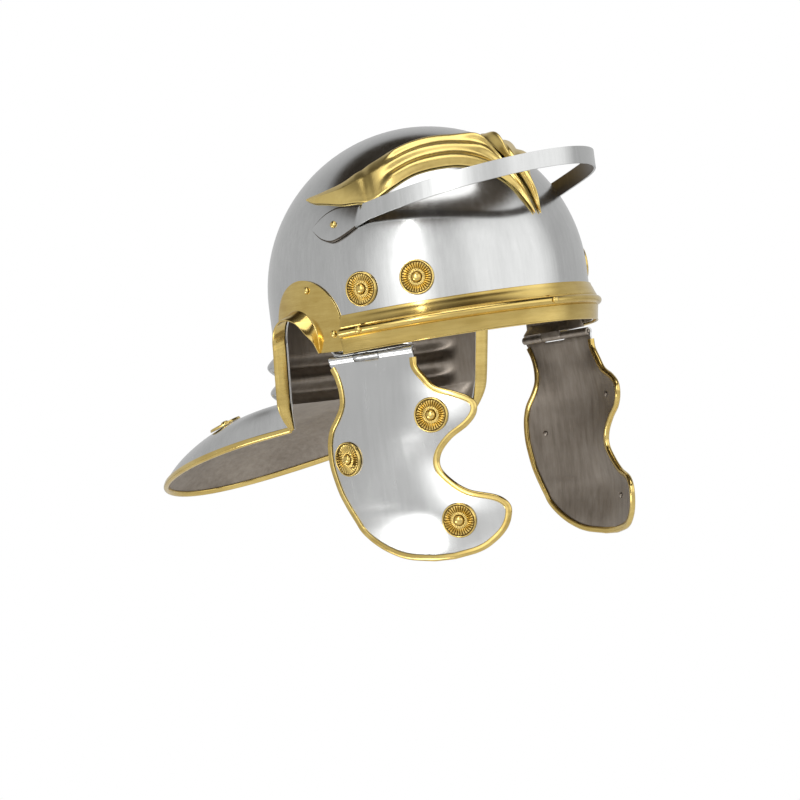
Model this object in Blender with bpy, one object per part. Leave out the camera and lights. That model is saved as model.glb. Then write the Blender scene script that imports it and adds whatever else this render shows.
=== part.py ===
"""A roman legionary helmet: steel bowl with neck guard, brass brow band, ear guards, eyebrows,
rosettes and edge trims, a steel brow bar, and two hinged cheek pieces.

The helmet is worn upright and faces -Y, with the wearer's right at -X.  Every height below is
measured from the bead of the brow band.  The origin is the inside of the crown, where the head is.
"""
import math

import bmesh
import bpy
from mathutils import Matrix, Vector

# Bowl: an ellipsoid above its equator and an upright wall below it.
BOWL_HALF_WIDTH = 0.103
BOWL_HALF_LENGTH = 0.118
BOWL_RISE = 0.111
EQUATOR_HEIGHT = 0.025
STEEL_WALL = 0.0012
FRONT_RIM_HEIGHT = -0.013
FRONT_COLUMNS = 12
REAR_COLUMNS = 12
WALL_ROWS = 2
DOME_ROWS = 8

# Ear opening: a round arch on upright sides.
EAR_CENTRE_AHEAD = -0.027
EAR_RADIUS = 0.021
EAR_SPRING_HEIGHT = -0.0035
EAR_COLUMNS = 8

# Nape: the wall goes on down behind the ears, with two ridges across it.
NAPE_BOTTOM_HEIGHT = -0.042
NAPE_EDGE_SLANT = 0.0055
RIDGE_HEIGHTS = (-0.0165, -0.0345)
RIDGE_HALF_WIDTH = 0.0070
RIDGE_DEPTH = 0.0065
RIDGE_SHOULDER = 0.55
RIDGE_SHOULDER_DEPTH = 0.66
RIDGE_STARTS_AT = 0.09
RIDGE_FULL_AT = 0.26

# Neck guard: a flaring shelf with an elliptic rim that slopes down to the rear.
GUARD_HALF_WIDTH = 0.097
GUARD_LENGTH = 0.1445
GUARD_CORNER_ANGLE = math.radians(-25.0)
GUARD_CORNER_HEIGHT = -0.0615
GUARD_SLOPE = 0.10
GUARD_DIP = 0.015
GUARD_ROWS = (0.14, 0.34, 0.54, 0.72, 0.87, 1.0)
GUARD_SWELL = 2.8
GUARD_TURN = 0.70
GUARD_SWELL_FULL = 0.25

# Brass sheet, trims and the clearances between pieces.
BRASS_WALL = 0.0009
GAP = 0.0003
FACET_GAP = 0.00045
TRIM_HALF_THICKNESS = 0.0020
TRIM_REACH = 0.0020
TRIM_LAP = 0.0020
TRIM_GAP = 0.0006
TRIM_SHOULDER = 0.3
TRIM_LIP = 0.85

# Brow band: across the front of the bowl, leaning out to a half-round bead.
BAND_TOP_HEIGHT = 0.012
BAND_BOTTOM_HEIGHT = -0.0136
BAND_SLOPE = 0.036
BAND_LEVEL_AHEAD = 0.080
BAND_STAND_OFF = 0.0044
BAND_FOOT_LIFT = 0.0030
BAND_TOP_CLEARANCE = 0.00055
BEAD_RADIUS = 0.0030
BEAD_SHOULDER = 0.75
BEAD_CREST = 0.0073
BAND_END_AHEAD = 0.0173

# Ear guards: a brass plate round each ear opening, with a flange bent outwards.
EAR_PLATE_CENTRE_AHEAD = -0.019
EAR_PLATE_CENTRE_HEIGHT = 0.003
EAR_PLATE_HALF_LENGTH = 0.036
EAR_PLATE_HALF_HEIGHT = 0.0345
EAR_PLATE_BOTTOM_HEIGHT = -0.014
FLANGE_WIDTH = 0.0118
FLANGE_DROOP = 0.0090
STRIP_START = 0.35
STRIP_WIDTH = 0.78
STRIP_FOOT_WIDTH = 0.12
STRIP_TAPER_START = 0.50
STRIP_LIFT = 0.0010
STRIP_LIFT_START = 0.35
STRIP_LIFT_END = 0.60

# Brow bar: a steel ribbon that stands ahead of the bowl, with a leaf-shaped tab at each end.
BAR_HEIGHT = 0.0117
BAR_WALL = 0.0015
BAR_CENTRE_AHEAD = 0.008
BAR_SIDE_INSET = 0.0108
BAR_REACH = 0.1367
BAR_BOTTOM_HEIGHT = 0.0667
BAR_CLIMB = 0.200
BAR_BEND = 0.25
BAR_TILT = 0.033
BAR_LEAN_FULL = 0.6
BAR_START_AHEAD = 0.042
BAR_SPANS = 22
TAB_LENGTH = 0.038
TAB_HALF_HEIGHT = 0.0115
TAB_TIP_AHEAD = -0.006
TAB_CENTRE_HEIGHT = 0.0705
TAB_RIVET_ALONG = 0.52

# Eyebrows: embossed brass leaves on the brow.
EYEBROW_RIB = 0.0033
EYEBROW_GROOVE = 0.0020
EYEBROW_EDGE = 0.0018
EYEBROW_FULL_WIDTH = 0.012

# Cheek pieces: thin dished plates that hang from a hinge under the band.
HINGE_HEIGHT = -0.019
HINGE_REAR_AHEAD = -0.004
HINGE_LENGTH = 0.070
HINGE_REAR_INSET = 0.0067
HINGE_FRONT_INSET = 0.0160
PIN_RADIUS = 0.00125
KNUCKLE_BORE = 0.0016
KNUCKLE_SPANS = (0.30, 0.60)
KNUCKLE_STEPS = 9
KNUCKLE_WRAP = math.radians(270.0)
PIN_PROUD = 0.0006
NOTCH_DROP = 0.0032
LEAF_TOP_HEIGHT = 0.008
LEAF_FOOT_RISE = 0.0035
LEAF_BEND_HEIGHT = -0.009
LEAF_WALL_GAP = 0.0007
LEAF_SPANS = 3
PIN_SIDES = 10
CHEEK_DROP = 0.140
CHEEK_REACH = 0.130
CHEEK_SURFACE_INSET = 0.0044
CHEEK_TOE_IN = 0.110
CHEEK_LEAN = 0.038
CHEEK_CURL_START = 0.049
CHEEK_CURL = 5.5
CHEEK_DISH = 0.0045
CHEEK_DISH_RISE = 0.35
CHEEK_DISH_FALL = 0.25
CHEEK_BLEND_DROP = 0.020
CHEEK_TRIM_START = 1

# Round brass fittings.
ROSETTE_RADIUS = 0.0118
ROSETTE_THICKNESS = 0.0032
ROSETTE_SIDES = 12
RIVET_RADIUS = 0.0024
RIVET_THICKNESS = 0.0018
RIVET_SIDES = 8

STEEL = ("worn_steel", (0.52, 0.52, 0.53), 0.32, 1.0)
BRASS = ("yellow_brass", (0.80, 0.57, 0.22), 0.28, 1.0)

CROWN_INSIDE_HEIGHT = EQUATOR_HEIGHT + BOWL_RISE - STEEL_WALL
EAR_FRONT_AHEAD = EAR_CENTRE_AHEAD + EAR_RADIUS
EAR_REAR_AHEAD = EAR_CENTRE_AHEAD - EAR_RADIUS
KNUCKLE_RADIUS = KNUCKLE_BORE + STEEL_WALL
BAR_HALF_WIDTH = BOWL_HALF_WIDTH - BAR_SIDE_INSET
HINGE_REAR_ACROSS = BOWL_HALF_WIDTH - HINGE_REAR_INSET
HINGE_FRONT_ACROSS = BOWL_HALF_WIDTH - HINGE_FRONT_INSET
CHEEK_SURFACE_ACROSS = BOWL_HALF_WIDTH - CHEEK_SURFACE_INSET

# Cheek outline, row by row: drop from the hinge as a share of CHEEK_DROP, then the rear and the
# front edge as shares of CHEEK_REACH ahead of the hinge's rear end.
CHEEK_ROWS = (
    # drop, rear, front
    (0.040, 0.014, 0.543),
    (0.085, 0.036, 0.546),
    (0.142, 0.050, 0.584),
    (0.199, 0.049, 0.634),
    (0.234, 0.036, 0.719),
    (0.276, 0.004, 0.789),
    (0.330, -0.046, 0.796),
    (0.385, -0.072, 0.752),
    (0.438, -0.082, 0.666),
    (0.507, -0.082, 0.600),
    (0.573, -0.069, 0.588),
    (0.644, -0.048, 0.639),
    (0.704, -0.019, 0.719),
    (0.741, 0.002, 0.826),
    (0.784, 0.028, 0.872),
    (0.834, 0.060, 0.873),
    (0.894, 0.132, 0.846),
    (0.946, 0.228, 0.790),
    (0.982, 0.342, 0.715),
    (1.000, 0.490, 0.600),
)
CHEEK_COLUMNS = (0.0, 0.15, 0.30, 0.45, 0.60, 0.75, 0.88, 1.0)

# Eyebrow outline, from the tail over the temple to the point between the brows: the upper and the
# lower edge seen from above, as shares of the bowl's half width and half length.
EYEBROW_SECTIONS = (
    # upper across, upper ahead, lower across, lower ahead
    (0.768, -0.208, 0.782, -0.190),
    (0.777, -0.070, 0.820, -0.085),
    (0.750, 0.075, 0.840, 0.095),
    (0.684, 0.161, 0.822, 0.220),
    (0.583, 0.250, 0.785, 0.335),
    (0.470, 0.302, 0.690, 0.425),
    (0.379, 0.343, 0.570, 0.505),
    (0.272, 0.394, 0.450, 0.590),
    (0.176, 0.447, 0.325, 0.670),
    (0.107, 0.496, 0.235, 0.735),
    (0.063, 0.560, 0.160, 0.795),
    (0.040, 0.650, 0.115, 0.838),
    (0.034, 0.745, 0.083, 0.878),
    (0.030, 0.830, 0.060, 0.910),
    (0.026, 0.895, 0.042, 0.932),
    (0.022, 0.935, 0.028, 0.946),
)

# Ear flange, from its front foot (0) over the top of the arch (1) to the neck guard's rim (2): how
# far it reaches out as a share of FLANGE_WIDTH, and how far it hangs as a share of FLANGE_DROOP.
FLANGE_SECTIONS = (
    # along, out, droop
    (0.00, 0.16, 0.02),
    (0.25, 0.45, 0.45),
    (0.50, 0.75, 0.85),
    (0.75, 0.92, 0.70),
    (1.00, 1.00, 0.62),
    (1.30, 1.00, 0.30),
    (1.70, 0.92, 0.15),
    (2.00, 0.25, 0.05),
)

# Brow bar tab, from its tip forwards: share of TAB_LENGTH, then the upper and the lower edge from
# the tab's centre height as shares of TAB_HALF_HEIGHT.
TAB_SECTIONS = (
    # along, upper, lower
    (0.00, 0.03, -0.10),
    (0.13, 0.42, -0.45),
    (0.30, 0.76, -0.80),
    (0.52, 0.97, -1.00),
    (0.74, 0.93, -0.80),
    (1.00, 0.83, -0.34),
)

# Rosettes on the bowl: share of BOWL_HALF_LENGTH ahead, and height.
BOWL_ROSETTES = {"temple": (0.305, 0.0252), "brow": (0.612, 0.0277)}

# Rivets on the ear guards: distance ahead and height.
EAR_GUARD_RIVETS = {"upper": (-0.0111, 0.0300), "front": (0.0099, -0.0017)}
CHEEK_ROSETTES = {
    # share of CHEEK_DROP, share across the plate
    "rear": (0.480, 0.198),
    "front": (0.322, 0.775),
    "lower": (0.830, 0.745),
}
GUARD_ROSETTE_AROUND = 0.47
GUARD_ROSETTE_OUT = 0.52
BAND_RIVET_AHEAD = 0.0338
FRONT_RIVET_ACROSS = 0.0070

# Turned profiles of the fittings, from the back to the top: shares of the radius and thickness.
ROSETTE_PROFILE = (
    # radius, height
    (1.00, 0.00),
    (0.90, 0.60),
    (0.40, 0.36),
    (0.32, 0.80),
    (0.12, 1.00),
)
RIVET_PROFILE = (
    # radius, height
    (1.00, 0.00),
    (0.86, 0.55),
    (0.42, 1.00),
)


def lerp(start, end, share):
    return start + (end - start) * share


def smooth(share):
    share = min(1.0, max(0.0, share))
    return share * share * (3.0 - 2.0 * share)


def make_material(look):
    name, colour, roughness, metallic = look
    material = bpy.data.materials.new(name)
    material.use_nodes = True
    shader = material.node_tree.nodes["Principled BSDF"]
    shader.inputs["Base Color"].default_value = (*colour, 1.0)
    shader.inputs["Roughness"].default_value = roughness
    shader.inputs["Metallic"].default_value = metallic
    return material


def add_object(name, mesh_builder, look, carrier, wall=0.0, grow=-1.0):
    """Turn a bmesh in helmet coordinates into an object that hangs from the carrier empty."""
    if carrier.parent:
        bmesh.ops.translate(mesh_builder, verts=mesh_builder.verts, vec=-carrier.location)
    mesh = bpy.data.meshes.new(name)
    mesh_builder.to_mesh(mesh)
    mesh_builder.free()
    mesh.shade_smooth()
    mesh.set_sharp_from_angle(angle=math.radians(35.0))
    mesh.materials.append(make_material((f"{look[0]}_{name}",) + look[1:]))
    item = bpy.data.objects.new(name, mesh)
    bpy.context.scene.collection.objects.link(item)
    item.parent = carrier
    if wall:
        thicken = item.modifiers.new("wall", "SOLIDIFY")
        thicken.thickness = wall
        thicken.offset = grow
        thicken.use_even_offset = True
    return item


def add_empty(name, parent=None, place=(0.0, 0.0, 0.0)):
    empty = bpy.data.objects.new(name, None)
    empty.empty_display_size = 0.02
    bpy.context.scene.collection.objects.link(empty)
    empty.parent = parent
    empty.location = place
    return empty


def join_rows(builder, rows, closed=False, flip=False):
    """Fill quads between rows of vertices that have the same number of points."""
    for lower, upper in zip(rows, rows[1:]):
        last = len(lower) if closed else len(lower) - 1
        for index in range(last):
            following = (index + 1) % len(lower)
            corners = [lower[index], lower[following], upper[following], upper[index]]
            if flip:
                corners.reverse()
            builder.faces.new(corners)


def sheet(rows, flip=False):
    """A single skin through rows of points."""
    builder = bmesh.new()
    grid = [[builder.verts.new(point) for point in row] for row in rows]
    join_rows(builder, grid, flip=flip)
    builder.normal_update()
    return builder


def sweep(sections):
    """A solid bar through closed sections, with flat ends."""
    builder = bmesh.new()
    rings = [[builder.verts.new(point) for point in ring] for ring in sections]
    join_rows(builder, rings, closed=True)
    builder.faces.new(list(reversed(rings[0])))
    builder.faces.new(rings[-1])
    bmesh.ops.recalc_face_normals(builder, faces=builder.faces)
    return builder


def radius_at(height):
    """How wide the bowl is at a height, as a share of its width at the equator."""
    rise = max(0.0, height - EQUATOR_HEIGHT) / BOWL_RISE
    return math.sqrt(max(0.0, 1.0 - rise * rise))


def skin_normal(point):
    rise = max(0.0, point.z - EQUATOR_HEIGHT)
    slope = Vector((point.x / BOWL_HALF_WIDTH ** 2, point.y / BOWL_HALF_LENGTH ** 2,
                    rise / BOWL_RISE ** 2))
    return slope.normalized()


def skin(side, ahead, height, lift=0.0):
    """A point on the bowl's outer skin, on the wearer's left (+1) or right (-1), lifted off it."""
    share = radius_at(height)
    along = min(1.0, abs(ahead) / (BOWL_HALF_LENGTH * share))
    across = BOWL_HALF_WIDTH * share * math.sqrt(1.0 - along * along)
    point = Vector((side * across, -ahead, height))
    return point + skin_normal(point) * lift


def skin_from_above(across, ahead, lift=0.0):
    """The point of the dome over a place in plan, lifted off the skin."""
    share = (across / BOWL_HALF_WIDTH) ** 2 + (ahead / BOWL_HALF_LENGTH) ** 2
    height = EQUATOR_HEIGHT + BOWL_RISE * math.sqrt(max(0.0, 1.0 - share))
    point = Vector((across, -ahead, height))
    return point + skin_normal(point) * lift


def column_angle(ahead):
    """The bowl's angle in plan, from the wearer's left towards the rear, at a distance ahead."""
    return math.asin(-ahead / BOWL_HALF_LENGTH)


def plan_point(angle, share, height, lift=0.0):
    point = Vector((BOWL_HALF_WIDTH * share * math.cos(angle),
                    BOWL_HALF_LENGTH * share * math.sin(angle), height))
    return point + skin_normal(point) * lift


def front_angles():
    """Angles of the bowl's columns from the front of the left ear to the middle of the brow."""
    start = column_angle(EAR_FRONT_AHEAD)
    return [lerp(start, -math.pi / 2.0, step / FRONT_COLUMNS) for step in range(FRONT_COLUMNS + 1)]


def arch_point(turn):
    """A point of the ear opening's edge, from its front (0) over the top to its rear (pi)."""
    return (EAR_CENTRE_AHEAD + EAR_RADIUS * math.cos(turn),
            EAR_SPRING_HEIGHT + EAR_RADIUS * math.sin(turn))


def nape_edge_ahead(height):
    share = (EAR_SPRING_HEIGHT - height) / (EAR_SPRING_HEIGHT - NAPE_BOTTOM_HEIGHT)
    return EAR_REAR_AHEAD - NAPE_EDGE_SLANT * share


def rim_height(behind):
    """The height of the neck guard's rim at a distance behind the origin."""
    corner_behind = BOWL_HALF_LENGTH + GUARD_LENGTH * math.sin(GUARD_CORNER_ANGLE)
    beyond = behind - corner_behind
    share = max(0.0, beyond / (BOWL_HALF_LENGTH + GUARD_LENGTH - corner_behind))
    return GUARD_CORNER_HEIGHT - GUARD_SLOPE * beyond - GUARD_DIP * share * share


def nape_rows():
    """The nape's rows below the spring of the ear arch: height, then share of the ridge's depth."""
    rows = []
    for centre in RIDGE_HEIGHTS:
        shoulder = RIDGE_HALF_WIDTH * RIDGE_SHOULDER
        rows += [(centre + RIDGE_HALF_WIDTH, 0.0), (centre + shoulder, RIDGE_SHOULDER_DEPTH),
                 (centre, 1.0), (centre - shoulder, RIDGE_SHOULDER_DEPTH)]
    rows.append((NAPE_BOTTOM_HEIGHT, 0.0))
    return rows


def nape_point(around, height, ridge=0.0):
    """A point of the nape: around runs from the ear edge (0) to the middle of the back (1)."""
    start = column_angle(nape_edge_ahead(height))
    angle = lerp(start, math.pi / 2.0, around)
    fade = smooth((around - RIDGE_STARTS_AT) / (RIDGE_FULL_AT - RIDGE_STARTS_AT))
    return plan_point(angle, 1.0, height, RIDGE_DEPTH * ridge * fade)


def guard_point(around, out):
    """A point of the neck guard: out runs from the nape (0) to the rim (1)."""
    root = nape_point(around, NAPE_BOTTOM_HEIGHT)
    turn = lerp(GUARD_CORNER_ANGLE, math.pi / 2.0, around)
    rim = Vector((GUARD_HALF_WIDTH * math.cos(turn),
                  BOWL_HALF_LENGTH + GUARD_LENGTH * math.sin(turn), 0.0))
    place = root.lerp(rim, out)
    swell = (1.0 - out ** GUARD_SWELL) ** GUARD_TURN
    swell = lerp(1.0 - out, swell, smooth(around / GUARD_SWELL_FULL))
    place.z = rim_height(place.y) + (root.z - rim_height(root.y)) * swell
    return place


def rear_rows():
    """Each row of the nape and neck guard as a function of its place around."""
    rows = [lambda around, height=height, ridge=ridge: nape_point(around, height, ridge)
            for height, ridge in nape_rows()]
    rows += [lambda around, out=out: guard_point(around, out) for out in GUARD_ROWS]
    return rows


def mirrored(point):
    return Vector((-point.x, point.y, point.z))


def across_the_rear(place_at):
    """One row from the wearer's left ear edge round the back to the right one."""
    left = [place_at(step / REAR_COLUMNS) for step in range(REAR_COLUMNS + 1)]
    return left + [mirrored(point) for point in reversed(left[:-1])]


def band_rise(ahead):
    """The brow band climbs towards the front; this is its height above a level band."""
    return BAND_SLOPE * (ahead - BAND_LEVEL_AHEAD)


def bowl_base():
    """The row that all of the bowl's columns share, from the brow round the wearer's left."""
    front = [(angle, EAR_SPRING_HEIGHT) for angle in reversed(front_angles())]
    ear = []
    for step in range(1, EAR_COLUMNS):
        ahead, height = arch_point(math.pi * step / EAR_COLUMNS)
        ear.append((column_angle(ahead), height))
    edge = column_angle(EAR_REAR_AHEAD)
    rear = [(lerp(edge, math.pi / 2.0, step / REAR_COLUMNS), EAR_SPRING_HEIGHT)
            for step in range(REAR_COLUMNS + 1)]
    left = front + ear + rear
    right = [(math.pi - angle, height) for angle, height in reversed(left[1:-1])]
    return left + right


def make_bowl(helmet):
    """The steel bowl, nape and neck guard in one skin.  Returns the rim as points and normals."""
    builder = bmesh.new()
    base = bowl_base()
    count = len(base)
    rows = []
    for step in range(WALL_ROWS):
        share = step / WALL_ROWS
        rows.append([plan_point(angle, 1.0, lerp(height, EQUATOR_HEIGHT, share))
                     for angle, height in base])
    for step in range(DOME_ROWS):
        tilt = math.pi / 2.0 * step / DOME_ROWS
        level = EQUATOR_HEIGHT + BOWL_RISE * math.sin(tilt)
        rows.append([plan_point(place[0], math.cos(tilt), level) for place in base])
    grid = [[builder.verts.new(point) for point in row] for row in rows]
    join_rows(builder, grid, closed=True)
    apex = builder.verts.new((0.0, 0.0, EQUATOR_HEIGHT + BOWL_RISE))
    for index in range(count):
        builder.faces.new((grid[-1][index], grid[-1][(index + 1) % count], apex))

    front = [grid[0][index % count] for index in range(-FRONT_COLUMNS, FRONT_COLUMNS + 1)]
    skirt = []
    for vert in front:
        height = FRONT_RIM_HEIGHT + max(0.0, band_rise(-vert.co.y))
        skirt.append(builder.verts.new((vert.co.x, vert.co.y, height)))
    join_rows(builder, [skirt, front])

    first = FRONT_COLUMNS + EAR_COLUMNS
    above = grid[0][first:first + 2 * REAR_COLUMNS + 1]
    rim = []
    for place_at in rear_rows():
        row = [builder.verts.new(point) for point in across_the_rear(place_at)]
        join_rows(builder, [row, above])
        above = row
        rim = row
    bmesh.ops.recalc_face_normals(builder, faces=builder.faces)
    builder.normal_update()
    edge = [(vert.co.copy(), vert.normal.copy()) for vert in rim]
    add_object("bowl", builder, STEEL, helmet, wall=STEEL_WALL)
    return edge


def trim_sections(edge, turn=1.0):
    """Closed C-shaped sections that clasp a sheet's edge, from its outer points and normals.

    A turn of -1 is for an edge that runs round the sheet the other way.
    """
    inside = STEEL_WALL / 2.0 + TRIM_GAP
    shoulder = TRIM_REACH * TRIM_SHOULDER
    lip = TRIM_HALF_THICKNESS * TRIM_LIP
    profile = (
        (-TRIM_LAP, lip),
        (shoulder, TRIM_HALF_THICKNESS),
        (TRIM_REACH, 0.0),
        (shoulder, -TRIM_HALF_THICKNESS),
        (-TRIM_LAP, -lip),
        (-TRIM_LAP, -inside),
        (TRIM_GAP, -inside),
        (TRIM_GAP, inside),
        (-TRIM_LAP, inside),
    )
    sections = []
    for index, (point, normal) in enumerate(edge):
        before = edge[max(0, index - 1)][0]
        after = edge[min(len(edge) - 1, index + 1)][0]
        along = (after - before).normalized()
        out = along.cross(normal).normalized() * turn
        up = out.cross(along).normalized()
        if up.dot(normal) < 0.0:
            up.negate()
        middle = point - normal * (STEEL_WALL / 2.0)
        sections.append([middle + out * reach + up * rise for reach, rise in profile])
    return sections


def make_brow_band(helmet):
    shoulder = BEAD_RADIUS * BEAD_SHOULDER
    profile = (
        (BRASS_WALL + BAND_TOP_CLEARANCE, BAND_TOP_HEIGHT),
        (BAND_STAND_OFF, BEAD_RADIUS),
        (BAND_STAND_OFF + shoulder, shoulder),
        (BEAD_CREST, 0.0),
        (BAND_STAND_OFF + shoulder, -shoulder),
        (BAND_STAND_OFF, -BEAD_RADIUS),
        (BAND_FOOT_LIFT, BAND_BOTTOM_HEIGHT),
    )
    end = column_angle(BAND_END_AHEAD)
    left = [end] + [angle for angle in front_angles() if angle < end - math.radians(1.0)]
    angles = left + [-math.pi - angle for angle in reversed(left[:-1])]
    rows = []
    for lift, height in profile:
        rises = [band_rise(-BOWL_HALF_LENGTH * math.sin(angle)) for angle in angles]
        rows.append([plan_point(angle, 1.0, height + rise, lift)
                     for angle, rise in zip(angles, rises)])
    add_object("brow_band", sheet(rows), BRASS, helmet, wall=BRASS_WALL)


def flange_reach(along):
    """The flange from its root to its lip on the wearer's left, by its place along the edge."""
    for before, after in zip(FLANGE_SECTIONS, FLANGE_SECTIONS[1:]):
        if before[0] <= along <= after[0]:
            share = (along - before[0]) / (after[0] - before[0])
            out = lerp(before[1], after[1], share)
            droop = lerp(before[2], after[2], share)
    return Vector((FLANGE_WIDTH * out, 0.0, -FLANGE_DROOP * droop))


def ear_guard_columns():
    """Columns of points across the left ear guard: outline, plate, bend, flange and its lip."""
    columns = []

    def add_column(plate, along):
        reach = flange_reach(along)
        columns.append(plate + [plate[-1] + reach * 0.5, plate[-1] + reach])

    def on_the_bowl(outline, edge, along):
        middle = (lerp(outline[0], edge[0], 0.5), lerp(outline[1], edge[1], 0.5))
        add_column([skin(1.0, *place, FACET_GAP) for place in (outline, middle, edge)], along)

    upright = EAR_SPRING_HEIGHT - FRONT_RIM_HEIGHT
    to_the_top = upright + EAR_RADIUS * math.pi / 2.0
    front_edge = EAR_PLATE_CENTRE_AHEAD + EAR_PLATE_HALF_LENGTH
    on_the_bowl((front_edge, EAR_PLATE_BOTTOM_HEIGHT), (EAR_FRONT_AHEAD, FRONT_RIM_HEIGHT), 0.0)
    for step in range(EAR_COLUMNS + 1):
        turn = math.pi * step / EAR_COLUMNS
        outline = (EAR_PLATE_CENTRE_AHEAD + EAR_PLATE_HALF_LENGTH * math.cos(turn),
                   EAR_PLATE_CENTRE_HEIGHT + EAR_PLATE_HALF_HEIGHT * math.sin(turn))
        along = (upright + EAR_RADIUS * turn) / to_the_top
        beyond = max(0.0, turn * 2.0 / math.pi - 1.0)
        on_the_bowl(outline, arch_point(turn), min(along, 1.0) + STRIP_START * beyond)

    rows = rear_rows()
    for index, place_at in enumerate(rows):
        share = index / (len(rows) - 1)
        edge = place_at(0.0)
        beside = place_at(1.0 / REAR_COLUMNS)
        above = rows[max(0, index - 1)](0.0)
        below = rows[min(len(rows) - 1, index + 1)](0.0)
        outwards = (beside - edge).cross(above - below).normalized()
        if outwards.x < 0.0:
            outwards.negate()
        taper = smooth((share - STRIP_TAPER_START) / (1.0 - STRIP_TAPER_START))
        width = lerp(STRIP_WIDTH, STRIP_FOOT_WIDTH, taper)
        settle = smooth((share - STRIP_LIFT_START) / (STRIP_LIFT_END - STRIP_LIFT_START))
        lift = outwards * lerp(FACET_GAP, STRIP_LIFT, settle)
        plate = [edge.lerp(beside, width * part) + lift for part in (1.0, 0.5, 0.0)]
        add_column(plate, lerp(1.0 + STRIP_START, 2.0, share))
    return columns


def make_ear_guard(side, name, helmet):
    columns = ear_guard_columns()
    if side < 0:
        columns = [[mirrored(point) for point in column] for column in columns]
    builder = sheet(columns, flip=side < 0)
    add_object(f"ear_guard_{name}", builder, BRASS, helmet, wall=BRASS_WALL, grow=1.0)


def ribbon_point(turn, height_share):
    """A point of the ribbon: turn runs from the wearer's left (0) to the right (pi).

    The ribbon leans up to the wearer's left, though its left tab sits as low as the right one.
    """
    across = BAR_HALF_WIDTH * math.cos(turn)
    forward = BAR_REACH * math.sin(turn)
    lean = BAR_TILT * across
    if across > 0.0:
        lean *= smooth(math.sin(turn) / BAR_LEAN_FULL)
    bottom = BAR_BOTTOM_HEIGHT + lean + BAR_CLIMB * forward - BAR_BEND * forward * forward
    return Vector((across, -(BAR_CENTRE_AHEAD + forward), bottom + BAR_HEIGHT * height_share))


def tab_rows(side, shares):
    """Rows of points across a tab, from its tip forwards."""
    rows = []
    for along, upper, lower in TAB_SECTIONS:
        ahead = TAB_TIP_AHEAD + TAB_LENGTH * along
        bottom = TAB_CENTRE_HEIGHT + TAB_HALF_HEIGHT * lower
        top = TAB_CENTRE_HEIGHT + TAB_HALF_HEIGHT * upper
        rows.append([skin(side, ahead, lerp(bottom, top, share), FACET_GAP) for share in shares])
    return rows


def make_brow_bar(helmet):
    shares = (0.0, 0.5, 1.0)
    start = math.asin((BAR_START_AHEAD - BAR_CENTRE_AHEAD) / BAR_REACH)
    rows = tab_rows(1.0, shares)
    for step in range(BAR_SPANS + 1):
        turn = lerp(start, math.pi - start, step / BAR_SPANS)
        rows.append([ribbon_point(turn, share) for share in shares])
    rows += reversed(tab_rows(-1.0, shares))
    add_object("brow_bar", sheet(rows), STEEL, helmet, wall=BAR_WALL, grow=1.0)


def make_eyebrow(side, name, helmet):
    profile = (
        (0.0, EYEBROW_EDGE),
        (0.18, EYEBROW_RIB),
        (0.35, EYEBROW_GROOVE),
        (0.50, EYEBROW_RIB),
        (0.65, EYEBROW_GROOVE),
        (0.82, EYEBROW_RIB),
        (1.0, EYEBROW_EDGE),
    )
    sections = []
    for upper_across, upper_ahead, lower_across, lower_ahead in EYEBROW_SECTIONS:
        width = (lower_across - upper_across) * BOWL_HALF_WIDTH
        relief = smooth(width / EYEBROW_FULL_WIDTH)
        section = []
        for share, lift in profile:
            across = lerp(upper_across, lower_across, share) * BOWL_HALF_WIDTH
            ahead = lerp(upper_ahead, lower_ahead, share) * BOWL_HALF_LENGTH
            section.append(skin_from_above(side * across, ahead, lerp(EYEBROW_EDGE, lift, relief)))
        sections.append(section)
    builder = sheet(sections, flip=side > 0)
    add_object(f"eyebrow_{name}", builder, BRASS, helmet, wall=BRASS_WALL)


def hinge_axis_point(side, share):
    """A point on the hinge axis, from its rear end (0) to its front end (1)."""
    across = lerp(HINGE_REAR_ACROSS, HINGE_FRONT_ACROSS, share)
    return Vector((side * across, -(HINGE_REAR_AHEAD + HINGE_LENGTH * share), HINGE_HEIGHT))


def hinge_outwards(side):
    """The level direction away from the head, square to the hinge axis."""
    along = hinge_axis_point(side, 1.0) - hinge_axis_point(side, 0.0)
    return Vector((-along.y, along.x, 0.0)).normalized() * side


def cheek_point(side, ahead, drop, across_share):
    """A point on the outer skin of the cheek piece."""
    curl = max(0.0, ahead - CHEEK_CURL_START)
    fitted = (CHEEK_SURFACE_ACROSS - CHEEK_TOE_IN * ahead - CHEEK_LEAN * drop
              - CHEEK_CURL * curl * curl)
    share = (ahead - HINGE_REAR_AHEAD) / HINGE_LENGTH
    at_hinge = lerp(HINGE_REAR_ACROSS, HINGE_FRONT_ACROSS, share) + KNUCKLE_RADIUS
    across = lerp(at_hinge, fitted, smooth(drop / CHEEK_BLEND_DROP))
    fullness = 4.0 * across_share * (1.0 - across_share)
    rise = smooth((drop - NOTCH_DROP) / (CHEEK_DROP * CHEEK_DISH_RISE))
    fall = smooth((CHEEK_DROP - drop) / (CHEEK_DROP * CHEEK_DISH_FALL))
    across += CHEEK_DISH * fullness * rise * fall
    return Vector((side * across, -ahead, HINGE_HEIGHT - drop))


def cheek_grid(side):
    """Rows of points from the hinge down."""
    rows = []
    top = []
    for share in CHEEK_COLUMNS:
        axis = hinge_axis_point(side, share)
        top.append(axis + hinge_outwards(side) * KNUCKLE_RADIUS - Vector((0.0, 0.0, NOTCH_DROP)))
    rows.append(top)
    for drop_share, rear, front in CHEEK_ROWS:
        drop = CHEEK_DROP * drop_share
        row = []
        for column in CHEEK_COLUMNS:
            ahead = HINGE_REAR_AHEAD + CHEEK_REACH * lerp(rear, front, column)
            row.append(cheek_point(side, ahead, drop, column))
        rows.append(row)
    return rows


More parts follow.
